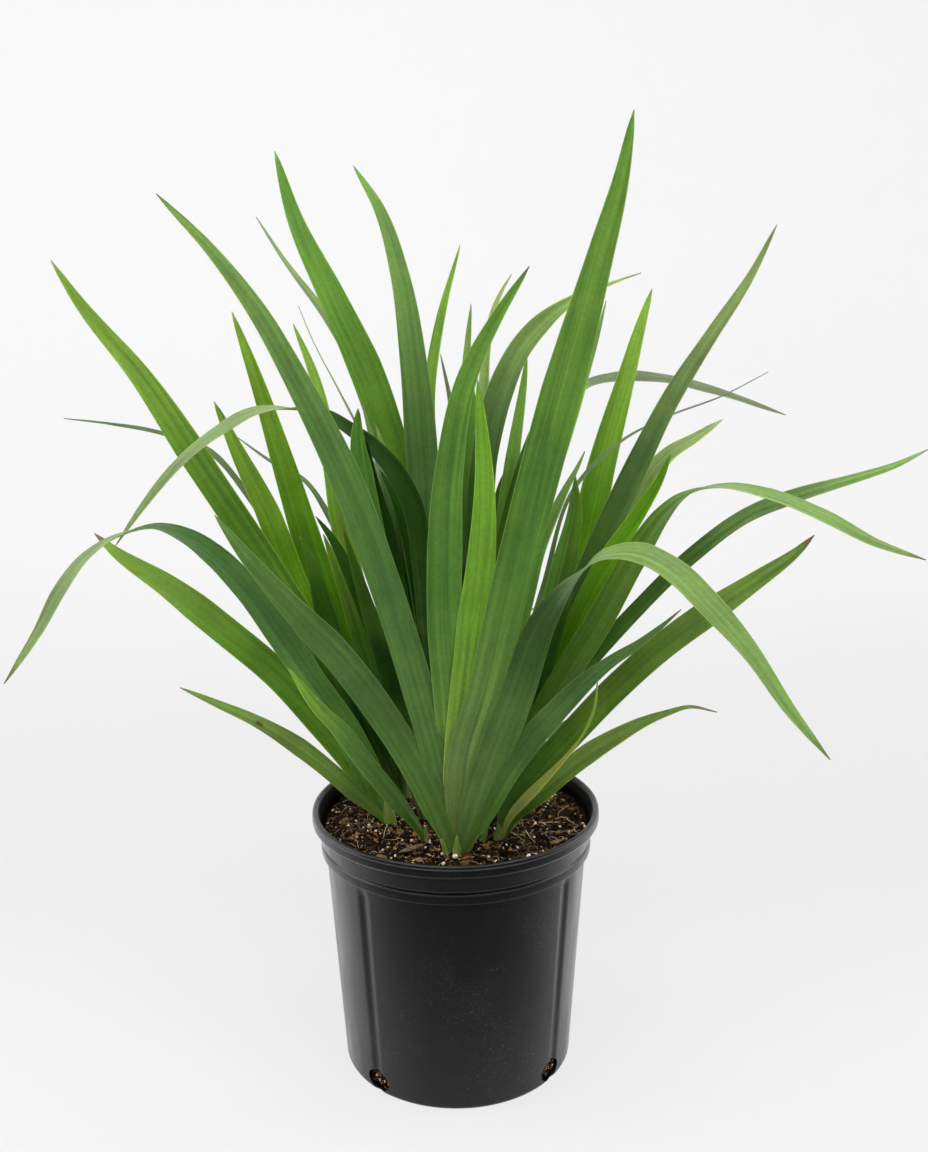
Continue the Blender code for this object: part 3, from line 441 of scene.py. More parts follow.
# Studio, in metres and watts
SOFT_BOXES = (  # name, place, width, depth, power
    ("top_box", (0.0, -0.10, 2.0), 2.2, 1.8, 54.0),
    ("left_box", (-1.30, 0.10, 0.90), 0.8, 1.4, 12.0),
    ("right_box", (1.30, 0.20, 0.90), 0.8, 1.4, 10.0),
)
BOX_TARGET = (0.0, 0.0, 0.25)
SWEEP_FLOOR = 1.5  # radius of the flat floor
SWEEP_BEND = 0.9  # radius of the curve behind it
SWEEP_HEIGHT = 2.0
SWEEP_STEPS = 24  # rings of the floor, and again of the curve
SWEEP_SIDES = 96
PAPER_GLOW = 0.662  # of the paper as the camera sees it, least just behind the pot
PAPER_NEAR = 0.075  # added on the floor in front
PAPER_FAR = 0.150  # added far behind and up the sweep
PAPER_RIGHT = -0.030  # added on the right
PAPER_UP = 0.02  # added with height
PAPER_SHARE = 0.12  # white of its own, which takes the real light and shadow
SHEEN_GLOW = (0.13, 0.17, 1.35)  # of the paper in the pot's sheen: far in front, nearer, beside
AIR_GLOW = (0.95, 1.45)  # of the surroundings, on the camera's side and elsewhere
AIR_SHEEN = (0.30, 1.45)  # the same, as shiny skins mirror them


def add_piece(name, vertices, faces, material, marks=None, smooth=True):
    """Object at the origin with a mesh from whole arrays; marks are per-vertex values by name."""
    mesh = bpy.data.meshes.new(name)
    mesh.vertices.add(len(vertices))
    mesh.vertices.foreach_set("co", np.asarray(vertices, np.float32).ravel())
    mesh.loops.add(faces.size)
    mesh.loops.foreach_set("vertex_index", faces.astype(np.int32).ravel())
    mesh.polygons.add(len(faces))
    mesh.polygons.foreach_set("loop_start", np.arange(0, faces.size, 3, dtype=np.int32))
    mesh.update(calc_edges=True)
    for mark, values in (marks or {}).items():
        kind, field = ("FLOAT", "value") if values.ndim == 1 else ("FLOAT_VECTOR", "vector")
        layer = mesh.attributes.new(mark, kind, "POINT")
        layer.data.foreach_set(field, np.asarray(values, np.float32).ravel())
    mesh.polygons.foreach_set("use_smooth", np.full(len(faces), smooth))
    mesh.materials.append(material)
    mesh.update()
    piece = bpy.data.objects.new(name, mesh)
    bpy.context.scene.collection.objects.link(piece)
    return piece


def outward(vertices, faces):
    """Faces of a closed shell turned to face out: its volume, summed from the origin, is positive."""
    a, b, c = (vertices[faces[:, corner]] for corner in range(3))
    return faces if np.sum(a * np.cross(b, c)) > 0 else faces[:, ::-1]


def skirt(rows, columns):
    """Faces between neighbouring rings, and those from the first ring to the point after the rings."""
    column = np.arange(columns)
    beside = (column + 1) % columns
    a = (np.arange(rows - 1)[:, None] * columns + column).ravel()
    b = (np.arange(rows - 1)[:, None] * columns + beside).ravel()
    return np.concatenate([
        np.stack([a, b, b + columns], 1),
        np.stack([a, b + columns, a + columns], 1),
        np.stack([beside, column, np.full(columns, rows * columns)], 1),
    ])


def shell(rings, start, end):
    """Closed surface over rings (rows, columns, 3): neighbours joined, a point closing each end."""
    rows, columns = rings.shape[:2]
    column = np.arange(columns)
    top = (rows - 1) * columns
    lid = np.stack([top + column, top + (column + 1) % columns, np.full(columns, rows * columns + 1)], 1)
    faces = np.concatenate([skirt(rows, columns), lid])
    vertices = np.concatenate([rings.reshape(-1, 3), [start, end]])
    return vertices, outward(vertices, faces)


def gather(parts):
    """One mesh from many: vertices end to end, faces shifted by the vertices before them."""
    shifts = np.cumsum([0] + [len(vertices) for vertices, _ in parts[:-1]])
    faces = [faces + shift for (_, faces), shift in zip(parts, shifts)]
    return np.concatenate([vertices for vertices, _ in parts]), np.concatenate(faces)


def smoothstep(value, low, high):
    """0 below low, 1 above high, 3t^2 - 2t^3 between."""
    t = np.clip((value - low) / (high - low), 0, 1)
    return 3 * t ** 2 - 2 * t ** 3


def run_of(rows):
    """Length along a row of points, from the first to each."""
    return np.concatenate([[0.0], np.cumsum(np.linalg.norm(np.diff(rows, axis=0), axis=1))])


def unit(rows):
    """Rows scaled to length 1."""
    return rows / np.linalg.norm(rows, axis=-1, keepdims=True)


def round_steps(count):
    """Even angles round a full turn."""
    return np.linspace(0, FULL_TURN, count, endpoint=False)


def grid_points(x, y, z):
    """Grid of points from three coordinates, each a number or a grid of its own."""
    return np.stack(np.broadcast_arrays(x, y, z), -1)


def on_circle(radius, height, angles):
    """Points on a level ring: angle 0 is the front, -Y."""
    return grid_points(radius * np.sin(angles), -radius * np.cos(angles), height)


def blended(first, second, share):
    """Values or tones from the first at share 0 to the second at share 1."""
    return np.asarray(first) * (1 - share) + np.asarray(second) * share


def value_noise(x, y, cell, seed):
    """Noise of -1..1: seeded values on a square lattice of one cell's size, blended by smoothstep."""
    table = np.random.default_rng(seed).uniform(-1, 1, (NOISE_CELLS, NOISE_CELLS))
    column, row = np.floor(x / cell).astype(int), np.floor(y / cell).astype(int)
    u, v = smoothstep(x / cell - column, 0, 1), smoothstep(y / cell - row, 0, 1)
    west, east = column % NOISE_CELLS, (column + 1) % NOISE_CELLS
    south, north = row % NOISE_CELLS, (row + 1) % NOISE_CELLS
    low = blended(table[west, south], table[east, south], u)
    high = blended(table[west, north], table[east, north], u)
    return blended(low, high, v)


def smooth_curve(points, samples):
    """Cubic Hermite curve through the points, with slopes from their neighbours by chord length."""
    knots = run_of(points)
    slopes = np.gradient(points, knots, axis=0)
    where = np.linspace(0, knots[-1], samples)
    index = np.clip(np.searchsorted(knots, where, side="right") - 1, 0, len(points) - 2)
    span = (knots[index + 1] - knots[index])[:, None]
    t = (where - knots[index])[:, None] / span
    start = (2 * t ** 3 - 3 * t ** 2 + 1) * points[index]
    leave = (t ** 3 - 2 * t ** 2 + t) * span * slopes[index]
    end = (3 * t ** 2 - 2 * t ** 3) * points[index + 1]
    arrive = (t ** 3 - t ** 2) * span * slopes[index + 1]
    return start + leave + end + arrive


def sight(across, up, depth):
    """Point seen at (across, up) on the front elevation, moved along its sight line to y = depth."""
    on_plane = np.stack([across, np.zeros_like(across), up + FLOOR], axis=-1)
    reach = (depth - VIEW[1]) / -VIEW[1]
    return VIEW + (on_plane - VIEW) * reach[..., None]


def midrib(root, tip_depth, sights):
    """Points of a leaf's midrib from the soil to the tip, closer together where it bends."""
    run = np.linalg.norm(sights[0] + (0, FLOOR) - root[[0, 2]]) + run_of(sights)
    depth = root[1] + (tip_depth - root[1]) * (run / run[-1]) ** DEPTH_POWER
    seen = sight(sights[:, 0], sights[:, 1], depth)
    foot = root - ROOT_DEPTH * unit(seen[0] - root)
    fine = smooth_curve(np.vstack([foot, root, seen]), CURVE_SAMPLES)
    along = unit(np.gradient(fine, axis=0))
    bends = np.arccos(np.clip(np.sum(along[1:] * along[:-1], axis=1), -1, 1))
    measure = run_of(fine) / SEGMENT + np.concatenate([[0.0], np.cumsum(bends)]) / BEND
    even = np.linspace(0, measure[-1], BLADE_ROWS)
    return np.stack([np.interp(even, measure, fine[:, axis]) for axis in range(3)], axis=1)


def blade_frame(rib, turns):
    """Width and face directions along a midrib: the face starts square to the viewer, then turns."""
    along = unit(np.gradient(rib, axis=0))
    toward = VIEW - rib
    face = unit(toward - np.sum(toward * along, axis=1, keepdims=True) * along)
    lean = math.copysign(1.0, rib[-1, 0] - rib[0, 0])
    upward = lean * np.cross(face, along)
    length = run_of(rib) - ROOT_DEPTH
    share = np.clip(length / length[-1], 0, 1)
    turn = np.interp(share, np.linspace(0, 1, len(turns)), turns)
    angle = np.radians(turn)[:, None]
    normal = face * np.cos(angle) + upward * np.sin(angle)
    return np.cross(along, normal), normal, turn


def blade_width(rib, width, taper):
    """Full width along a midrib: drawn in at the crown, then parallel, then tapered to the tip."""
    length = run_of(rib)
    base = BASE_WIDTH + (1 - BASE_WIDTH) * smoothstep(length - ROOT_DEPTH, 0, BASE_LENGTH)
    left = np.clip((length[-1] - length) / taper, 0, 1)
    nearness = (rib[:, 1] - VIEW[1]) / -VIEW[1]
    return np.maximum(width * nearness * base * left ** TAPER_POWER, TIP_WIDTH)


def blade_surface(rib, across, normal, width, rng):
    """Leaf blade: a thin closed section carried along its midrib.

    With u from -1 to 1 across the blade, the section rises from the midrib by sqrt(u^2 + keel^2) - keel,
    scaled to fold times the half width at the edge, plus a wave that grows with u^2. It is
    edge + (rib - edge) exp(-(u / spread)^2) thick, swollen at the crown, and pleats ripple both faces.
    """
    length = run_of(rib)
    half = (width / 2)[:, None]
    even = np.linspace(-1, 1, BLADE_COLUMNS)
    u = (1 - EDGE_CROWDING) * even + EDGE_CROWDING * np.sin(even * math.pi / 2)
    u = u[None, :]
    slim = np.clip(half / RIB_FADE, SLIMMEST_RIB, 1.0)
    swell = BASE_SWELL * np.exp(-np.clip(length - ROOT_DEPTH, 0, None) / SWELL_REACH)[:, None]
    core = (RIB_THICKNESS * slim + swell - EDGE_THICKNESS) * np.exp(-(u / RIB_SPREAD) ** 2)
    rounded = np.sqrt(np.clip(1 - (np.abs(u) - ROUND_START).clip(0) ** 2 / ROUND_REACH ** 2, 0, 1))
    thick = (EDGE_THICKNESS * rounded + np.clip(core, 0, None) + 0.4 * swell * (1 - u ** 2)) / 2
    lift = BLADE_FOLD * half * (np.sqrt(u ** 2 + KEEL ** 2) - KEEL) / (math.sqrt(1 + KEEL ** 2) - KEEL)
    phase = rng.uniform(0, FULL_TURN)
    pitch = rng.uniform(*WAVE_PITCHES) * MM
    beat = rng.uniform(0, FULL_TURN)
    grown = smoothstep(length, *WAVE_GROWTH)[:, None] * np.clip(half / WAVE_HALF, 0, 1)
    wave = WAVE * grown * u ** 2 * np.sign(u) * np.sin(FULL_TURN * length / pitch + beat)[:, None]
    pleats = PLEAT * grown * (1 - u ** 4) * np.cos(FULL_TURN * half * u / (PLEAT_PITCH * MM) + phase)
    middle = rib[:, None] + across[:, None] * (half * u)[..., None]
    upper = middle + normal[:, None] * (lift + wave + pleats + thick)[..., None]
    lower = middle + normal[:, None] * (lift + wave + pleats - thick)[..., None]
    rings = np.concatenate([upper, lower[:, ::-1]], axis=1)
    vertices, faces = shell(rings, rib[0], rib[-1] + 0.2 * width[-1] * unit(rib[-1] - rib[-2]))
    ring_u = np.concatenate([u, u[:, ::-1]], axis=1)
    return vertices, faces, half * ring_u, np.broadcast_to(length[:, None], rings.shape[:2]), half


def with_ends(grid):
    """A shell's values in the order of its vertices: all its rings, then its two end points."""
    return np.concatenate([grid.reshape(-1, *grid.shape[2:]), grid[0, :1], grid[-1, :1]])


def leaf_marks(side, length, half, look, rng, turn=None, spot=None):
    """Per-vertex marks of a leaf: place on the blade in mm, distance to its edge in mm, and tone.

    The tone goes from foot to middle to top by smoothsteps; on an arched leaf it goes from painted shade
    on the way up to painted light where the blade turns its upper face to the viewer. It is paler at the
    crown by exp(-length / reach) and turns to the dry tone over the last mm of the tip.
    """
    foot, middle, top = (TONES[name] for name in look[:3])
    dry = look[3]
    total = length[-1, 0]
    low = smoothstep(length, 0.05 * total, 0.5 * total)[..., None]
    high = smoothstep(length, 0.5 * total, 0.95 * total)[..., None]
    # painted shade where an arched leaf rises with its underside shown, painted light past the bend
    if turn is not None and turn[0] > 120 and turn[-1] < 80:
        high = np.broadcast_to(smoothstep(-turn, -125, -70)[:, None, None], low.shape)
    jitter = 1 + rng.uniform(-TONE_JITTER, TONE_JITTER, 3)
    tone = blended(blended(foot, middle, low), top, high) * jitter
    fade = np.exp(-np.clip(length - ROOT_DEPTH, 0, None) / PALE_REACH)[..., None]
    pale = PALE_SHARE.get(look[0], PALE_USUAL) * fade
    tone = blended(tone, YOUNG_BASE, pale)
    if dry:
        gone = smoothstep(length, total - dry * MM, total - 0.35 * dry * MM)[..., None]
        tone = blended(tone, DRY_TIP, gone)
    if spot:
        near = np.hypot(side / MM - spot[0], (length - spot[1] * total) / MM * 0.6)
        mark = 1 - smoothstep(near, 0.6, 1.8)[..., None]
        tone = blended(tone, SPOT_TONE, mark)
    number = rng.uniform(0, 40)
    place = np.stack([side / MM, length / MM, np.full(side.shape, number)], -1)
    margin = (half - np.abs(side)) / MM + np.clip(SLIM_HALF - half / MM, 0, None)
    return {"blade": with_ends(place), "margin": with_ends(margin), "tone": with_ends(tone)}


def join_leaves(name, made, material):
    """One piece from many blades, with their marks end to end."""
    vertices, faces = gather([(vertices, faces) for vertices, faces, _ in made])
    marks = {key: np.concatenate([leaf[2][key] for leaf in made]) for key in made[0][2]}
    return add_piece(name, vertices, faces, material, marks)


def make_fan(name, x, y, half_width, half_depth, leaves, material):
    """Fan of leaves on the frame's midribs, over a pleated core that fills the crown between them."""
    rng = np.random.default_rng(abs(int(x * 131 + y * 17)) + 7)  # a seed for each place
    middle = (len(leaves) - 1) / 2
    layer = min(LAYER, LAYERS_SHARE * half_depth * MM / len(leaves))
    made = [crown_core(x, y, half_width, half_depth, rng)]
    for index, leaf in enumerate(leaves):
        width, taper, tip_depth, turns, sights = leaf
        seat = SEAT_SHARE * half_width * math.tanh((sights[0][0] - x) / SEAT_REACH)
        root = np.array(((x + seat) * MM, y * MM + (middle - index) * layer, SOIL_TOP + LEAF_START))
        rib = midrib(root, tip_depth * MM, np.array(sights, dtype=float) * MM)
        across, normal, turn = blade_frame(rib, turns)
        blade = blade_surface(rib, across, normal, blade_width(rib, width * MM, taper * MM), rng)
        spot = BROWN_SPOT if name == "fan_left" and index == 3 else None
        marks = leaf_marks(*blade[2:], LEAF_TONES[name][index], rng, turn, spot)
        made.append((blade[0], blade[1], marks))
    return join_leaves("leaves" + name[3:], made, material)


def crown_core(x, y, half_width, half_depth, rng):
    """Core of a crown: a rippled ellipse, its radius 0.52 - 0.40 height^1.6 of the crown's own."""
    around = round_steps(CORE_SIDES)
    levels = np.linspace(0, 1, CORE_ROWS)[:, None]
    girth = (0.52 - 0.40 * levels ** 1.6) * (1 + 0.05 * np.cos(9 * around + rng.uniform(0, FULL_TURN)))
    height = SOIL_TOP - CORE_DEPTH + CORE_RISE * levels
    across = x * MM + half_width * MM * girth * np.cos(around)
    along = y * MM + half_depth * MM * girth * np.sin(around)
    rings = grid_points(across, along, height)
    base = (x * MM, y * MM, SOIL_TOP - CORE_DEPTH)
    vertices, faces = shell(rings, base, (x * MM, y * MM, SOIL_TOP + CORE_TIP))
    rise = (vertices[:, 2] - SOIL_TOP) / MM
    share = smoothstep(rise, 0, 16)[:, None]
    tone = blended(TONES["sheath"], TONES["dusty"], share)
    turn = np.arctan2(vertices[:, 1] - y * MM, vertices[:, 0] - x * MM)
    place = np.stack([turn * half_width, rise, np.full(len(rise), 3.0)], -1)
    return vertices, faces, {"blade": place, "margin": np.full(len(rise), 5.0), "tone": tone}


def make_scales(material):
    """Short scales: small blades on a line that rises evenly and leans out with height^1.7."""
    rng = np.random.default_rng(23)
    made = []
    for x, y, lean_x, lean_y, height, width, tone in SCALES:
        share = np.linspace(0, 1, BLADE_ROWS)[:, None]
        foot = np.array((x, y, 0.0)) * MM + (0, 0, SOIL_TOP - SCALE_DEPTH)
        rib = foot + np.array((lean_x, lean_y, 0.0)) * MM * share ** 1.7 + (0, 0, height * MM) * share
        out = unit(np.array((lean_x, lean_y, 0.0)) + (1e-6, -1e-6, 0))
        along = unit(np.gradient(rib, axis=0))
        normal = unit(out - np.sum(out * along, axis=1, keepdims=True) * along)
        girth = width * MM * (0.55 + 0.45 * smoothstep(share[:, 0], 0, 0.4))
        girth = np.maximum(girth * np.clip(1 - share[:, 0], 0, 1) ** 0.6, TIP_WIDTH)
        blade = blade_surface(rib, np.cross(along, normal), normal, girth, rng)
        marks = leaf_marks(*blade[2:], (tone, tone, tone, 0), rng)
        made.append((blade[0], blade[1], marks))
    return join_leaves("crown_scales", made, material)


def flute_depth(angles):
    """Depth of the wall's flutes: a raised cosine across each, nothing between them."""
    offset = (angles[:, None] - FLUTE_ANGLES + math.pi) % FULL_TURN - math.pi
    nearest = np.min(np.abs(offset), axis=1)
    return FLUTE_DEPTH * (0.5 + 0.5 * np.cos(math.pi * np.clip(nearest / FLUTE_HALF_ANGLE, 0, 1)))


def wall_radius(height):
    """Outer radius of the plain tapered wall at a height."""
    share = (height - WALL_FOOT) / (WALL_TOP - WALL_FOOT)
    return WALL_FOOT_RADIUS + (WALL_TOP_RADIUS - WALL_FOOT_RADIUS) * share


def eased(profile, reach):
    """Profile with every inner corner replaced by a short parabola that starts a reach from it."""
    before = profile[:-2, :2] - profile[1:-1, :2]
    after = profile[2:, :2] - profile[1:-1, :2]
    shorter = np.minimum(np.linalg.norm(before, axis=1), np.linalg.norm(after, axis=1))
    cut = np.minimum(reach, 0.42 * shorter)[:, None]
    start = cut / np.linalg.norm(before, axis=1, keepdims=True)
    end = cut / np.linalg.norm(after, axis=1, keepdims=True)
    corner = profile[1:-1]
    first = corner + start * (profile[:-2] - corner)
    last = corner + end * (profile[2:] - corner)
    t = np.linspace(0, 1, CORNER_STEPS)[None, :, None]
    bows = (1 - t) ** 2 * first[:, None] + 2 * t * (1 - t) * corner[:, None] + t ** 2 * last[:, None]
    return np.concatenate([profile[:1], bows.reshape(-1, profile.shape[1]), profile[-1:]])


def make_pot(material):
    """Pot: its profile, corners eased, turned round the axis, sunk at the flutes, then bored."""
    angles = round_steps(POT_COLUMNS)
    low, high = 60 * MM, 120 * MM
    # radius, height and share of the flute, from the floor up the inside and down the outside
    profile = np.array([
        (WALL_FOOT_RADIUS - WALL - 1.8 * MM, FLOOR, 0.4),
        (WALL_FOOT_RADIUS - WALL, WALL_FOOT, 1.0),
        (wall_radius(low) - WALL, low, 1.0),
        (wall_radius(high) - WALL, high, 1.0),
        (WALL_TOP_RADIUS - WALL, WALL_TOP, 0.0),
        (76.2 * MM, 139.5 * MM, 0.0),
        (77.2 * MM, 148.0 * MM, 0.0),
        (78.8 * MM, 153.6 * MM, 0.0),
        (80.4 * MM, POT_HEIGHT, 0.0),
        (81.9 * MM, 154.3 * MM, 0.0),
        (RIM_RADIUS, 152.6 * MM, 0.0),
        (RIM_RADIUS, 148.8 * MM, 0.0),
        (81.6 * MM, 147.6 * MM, 0.0),
        (79.0 * MM, 147.0 * MM, 0.0),
        (78.1 * MM, 138.2 * MM, 0.0),
        (77.4 * MM, 137.4 * MM, 0.0),
        (76.5 * MM, 136.9 * MM, 0.0),
        (77.9 * MM, 135.6 * MM, 0.0),
        (77.8 * MM, 130.8 * MM, 0.0),
        (WALL_TOP_RADIUS, WALL_TOP, 0.0),
        (wall_radius(UNDER_BANDS), UNDER_BANDS, 1.0),
        (wall_radius(low), low, 1.0),
        (WALL_FOOT_RADIUS, WALL_FOOT, 1.0),
        (WALL_FOOT_RADIUS - 0.2 * MM, 1.2 * MM, 0.8),
        (WALL_FOOT_RADIUS - 0.9 * MM, 0.0, 0.6),
    ])
    profile = eased(profile, CORNER)
    radius = profile[:, :1] - profile[:, 2:] * flute_depth(angles)[None, :]
    rings = on_circle(radius, profile[:, 1:2], angles[None, :])
    vertices, faces = shell(rings, (0, 0, FLOOR), (0, 0, 0))
    pot = add_piece("pot_shell", vertices, faces, material)
    cutter = add_piece("drain_cutter", *gather([drain_hole(angle) for angle in HOLE_ANGLES]), material)
    modifier = pot.modifiers.new("cut", "BOOLEAN")
    modifier.operation = "DIFFERENCE"
    modifier.object = cutter
    modifier.solver = "EXACT"
    graph = bpy.context.evaluated_depsgraph_get()
    bored = bpy.data.meshes.new_from_object(pot.evaluated_get(graph))
    pot.modifiers.clear()
    pot.data = bored
    bpy.data.objects.remove(cutter, do_unlink=True)
    bored.set_sharp_from_angle(angle=math.radians(40))
    return pot


def drain_hole(angle):
    """Cutter for one drain hole: an upright oval driven inwards through the foot of the wall."""
    around = round_steps(HOLE_SIDES)
    across = HOLE_HALF_WIDTH * np.cos(around)
    up = HOLE_HEIGHT + HOLE_HALF_HEIGHT * np.sin(around)
    radius = np.array([[HOLE_INSIDE], [HOLE_OUTSIDE]])
    x = radius * math.sin(angle) + across * math.cos(angle)
    y = -radius * math.cos(angle) + across * math.sin(angle)
    rings = grid_points(x, y, up)
    return shell(rings, rings[0].mean(axis=0), rings[1].mean(axis=0))


def soil_height(x, y):
    """Height of the potting mix: a low mound, lower by radius^2, plus noise of four sizes."""
    height = SOIL_TOP + SOIL_MOUND * (0.5 - (x * x + y * y) / SOIL_SPREAD ** 2)
    for seed, (size, tall) in enumerate(CLODS):
        height = height + tall * MM * value_noise(x / MM + 500, y / MM + 500, size, 40 + seed)
    return height


def make_soil(material):
    """Potting mix: a plug that fills the pot, with a finely lumped top."""
    angles = round_steps(SOIL_COLUMNS)
    groove = flute_depth(angles)[None, :]
    clear = WALL + SEAT_GAP
    side = np.array([
        (WALL_FOOT_RADIUS - clear - 2.0 * MM, FLOOR + SEAT_GAP, 0.4),
        (WALL_FOOT_RADIUS - clear, WALL_FOOT, 1.0),
        (WALL_FOOT_RADIUS - clear + 0.8 * MM, 16 * MM, 1.0),
        (wall_radius(60 * MM) - clear, 60 * MM, 1.0),
        (wall_radius(120 * MM) - clear, 120 * MM, 1.0),
        (WALL_TOP_RADIUS - clear, WALL_TOP, 0.0),
    ])
    plug = on_circle(side[:, :1] - side[:, 2:] * groove, side[:, 1:2], angles[None, :])
    share = np.linspace(1.0, 0.0, SOIL_ROWS, endpoint=False)[:, None]
    top = on_circle(SOIL_EDGE * share, 0.0, angles[None, :])
    top[..., 2] = soil_height(top[..., 0], top[..., 1])
    rings = np.concatenate([plug, top])
    middle = (0, 0, float(soil_height(np.zeros(1), np.zeros(1))[0]))
    vertices, faces = shell(rings, (0, 0, FLOOR + SEAT_GAP), middle)
    return add_piece("soil_bed", vertices, faces, material)


def turned(rng, count):
    """Random rotations as matrices, from unit quaternions of normal numbers."""
    w, x, y, z = unit(rng.normal(size=(count, 4))).T
    return np.stack([
        np.stack([1 - 2 * (y * y + z * z), 2 * (x * y - z * w), 2 * (x * z + y * w)], -1),
        np.stack([2 * (x * y + z * w), 1 - 2 * (x * x + z * z), 2 * (y * z - x * w)], -1),
        np.stack([2 * (x * z - y * w), 2 * (y * z + x * w), 1 - 2 * (x * x + y * y)], -1),
    ], 1)


def lump_surface(rings, sides):
    """Unit ball as a closed shell of a few rings."""
    tilt = np.linspace(0, math.pi, rings + 2)[1:-1, None]
    around = round_steps(sides)[None, :]
    ball = grid_points(np.sin(tilt) * np.cos(around), np.sin(tilt) * np.sin(around), np.cos(tilt))
    return shell(ball, (0, 0, 1), (0, 0, -1))


def make_lumps(name, centres, sizes, tones, material, rng, rings=3, sides=6, rough=0.22, level=0.0,
               smooth=True):
    """Many uneven lumps in one mesh: balls with corners moved in or out, stretched, turned, placed.

    With level from 0 to 1 the turns go from any direction to lying flat.
    """
    ball, ball_faces = lump_surface(rings, sides)
    count = len(centres)
    uneven = 1 + rng.uniform(-rough, rough, (count, len(ball), 1))
    turns = turned(rng, count)
    if level:
        spin = rng.uniform(0, FULL_TURN, count)
        flat = np.zeros((count, 3, 3))
        flat[:, 0, 0] = flat[:, 1, 1] = np.cos(spin)
        flat[:, 1, 0] = np.sin(spin)
        flat[:, 0, 1] = -np.sin(spin)
        flat[:, 2, 2] = 1
        turns = np.linalg.qr(level * flat + (1 - level) * turns)[0]
    shapes = np.einsum("nij,nvj->nvi", turns, ball * uneven * sizes[:, None])
    vertices = (shapes + centres[:, None]).reshape(-1, 3)
    faces = (ball_faces[None] + (np.arange(count) * len(ball))[:, None, None]).reshape(-1, 3)
    marks = {"tone": np.repeat(tones, len(ball), axis=0)}
    return add_piece(name, vertices, faces, material, marks, smooth)


def scatter(rng, count, reach=LOOSE_REACH):
    """Even random places in a circle, radius by the square root of a uniform number."""
    radius = reach * np.sqrt(rng.uniform(0, 1, count))
    angle = rng.uniform(0, FULL_TURN, count)
    return radius * np.sin(angle), radius * np.cos(angle)


def seated(x, y, sink):
    """Places on the soil, a little below its surface."""
    return np.stack([x, y, soil_height(x, y) - sink], -1)


def make_peat(material):
    """Peat crumbs and small bark: thousands of dark lumps, many rusty, a few tan, some in the holes."""
    rng = np.random.default_rng(101)
    x, y = scatter(rng, PEAT_COUNT)
    size = np.exp(rng.normal(math.log(PEAT_SIZE), PEAT_SPREAD, PEAT_COUNT)).clip(*PEAT_SIZES) * MM
    centres = np.concatenate([seated(x, y, 0.2 * size), hole_places(rng)])
    count = len(centres)
    size = np.concatenate([size, rng.uniform(0.5, 1.3, count - PEAT_COUNT) * MM])
    sizes = size[:, None] * rng.uniform(0.35, 1.6, (count, 3))
    rust = rng.uniform(0, 1, (count, 1)) ** 3.0
    tones = blended(PEAT_TONE, RUST_TONE, rust)
    small = np.concatenate([size[:PEAT_COUNT] < SMALL_CRUMB * MM, np.ones(count - PEAT_COUNT, bool)])[:, None]
    tones = np.where((rng.uniform(0, 1, (count, 1)) < TAN_SHARE) & small, np.array(TAN_TONE), tones)
    tones = tones * rng.uniform(0.35, 1.7, (count, 1))
    return make_lumps("peat_crumbs", centres, sizes, tones, material, rng, rough=0.34, smooth=False)


def hole_places(rng):
    """Places on the soil plug behind the drain holes, spread evenly over each oval."""
    places = []
    for angle in HOLE_ANGLES:
        reach = np.sqrt(rng.uniform(0, 1, HOLE_CRUMBS)) * 0.85
        around = rng.uniform(0, FULL_TURN, HOLE_CRUMBS)
        height = HOLE_HEIGHT + HOLE_HALF_HEIGHT * reach * np.sin(around)
        turn = angle + HOLE_HALF_WIDTH * reach * np.cos(around) / WALL_FOOT_RADIUS
        radius = WALL_FOOT_RADIUS - WALL - 0.5 * MM - np.clip(WALL_FOOT - height, 0, None) * 0.5
        places.append(on_circle(radius, np.maximum(height, 2.6 * MM), turn))
    return np.concatenate(places)


def make_perlite(material):
    """Perlite: the grains that show in the photograph, at their places, and more at random."""
    rng = np.random.default_rng(55)
    x, y = scatter(rng, PERLITE_COUNT)
    x = np.concatenate([PERLITE_PLACES[:, 0] * MM, x])
    y = np.concatenate([PERLITE_PLACES[:, 1] * MM, y])
    size = np.concatenate([0.92 * PERLITE_SIZES, rng.uniform(0.5, 1.5, PERLITE_COUNT)]) * MM / 2
    sizes = size[:, None] * rng.uniform(0.8, 1.2, (len(size), 3))
    tones = np.array(PERLITE_TONE) * rng.uniform(0.80, 1.08, (len(size), 1))
    centres = seated(x, y, -0.45 * size)
    return make_lumps("perlite", centres, sizes, tones, material, rng, rings=6, sides=10, rough=0.09)


def make_bark(material):
    """Bark chips: small flat lumps laid nearly level at random places."""
    rng = np.random.default_rng(77)
    x, y = scatter(rng, BARK_COUNT)
    length = rng.uniform(2.0, 5.5, BARK_COUNT) * MM
    sizes = np.stack([length, length * rng.uniform(0.25, 0.6, BARK_COUNT),
                      rng.uniform(0.5, 1.1, BARK_COUNT) * MM], -1) / 2
    tones = np.array(BARK_TONE) * rng.uniform(0.25, 2.2, (BARK_COUNT, 1))
    return make_lumps("bark_chips", seated(x, y, -0.2 * MM), sizes, tones, material, rng, rings=5,
                      sides=8, rough=0.16, level=0.8)


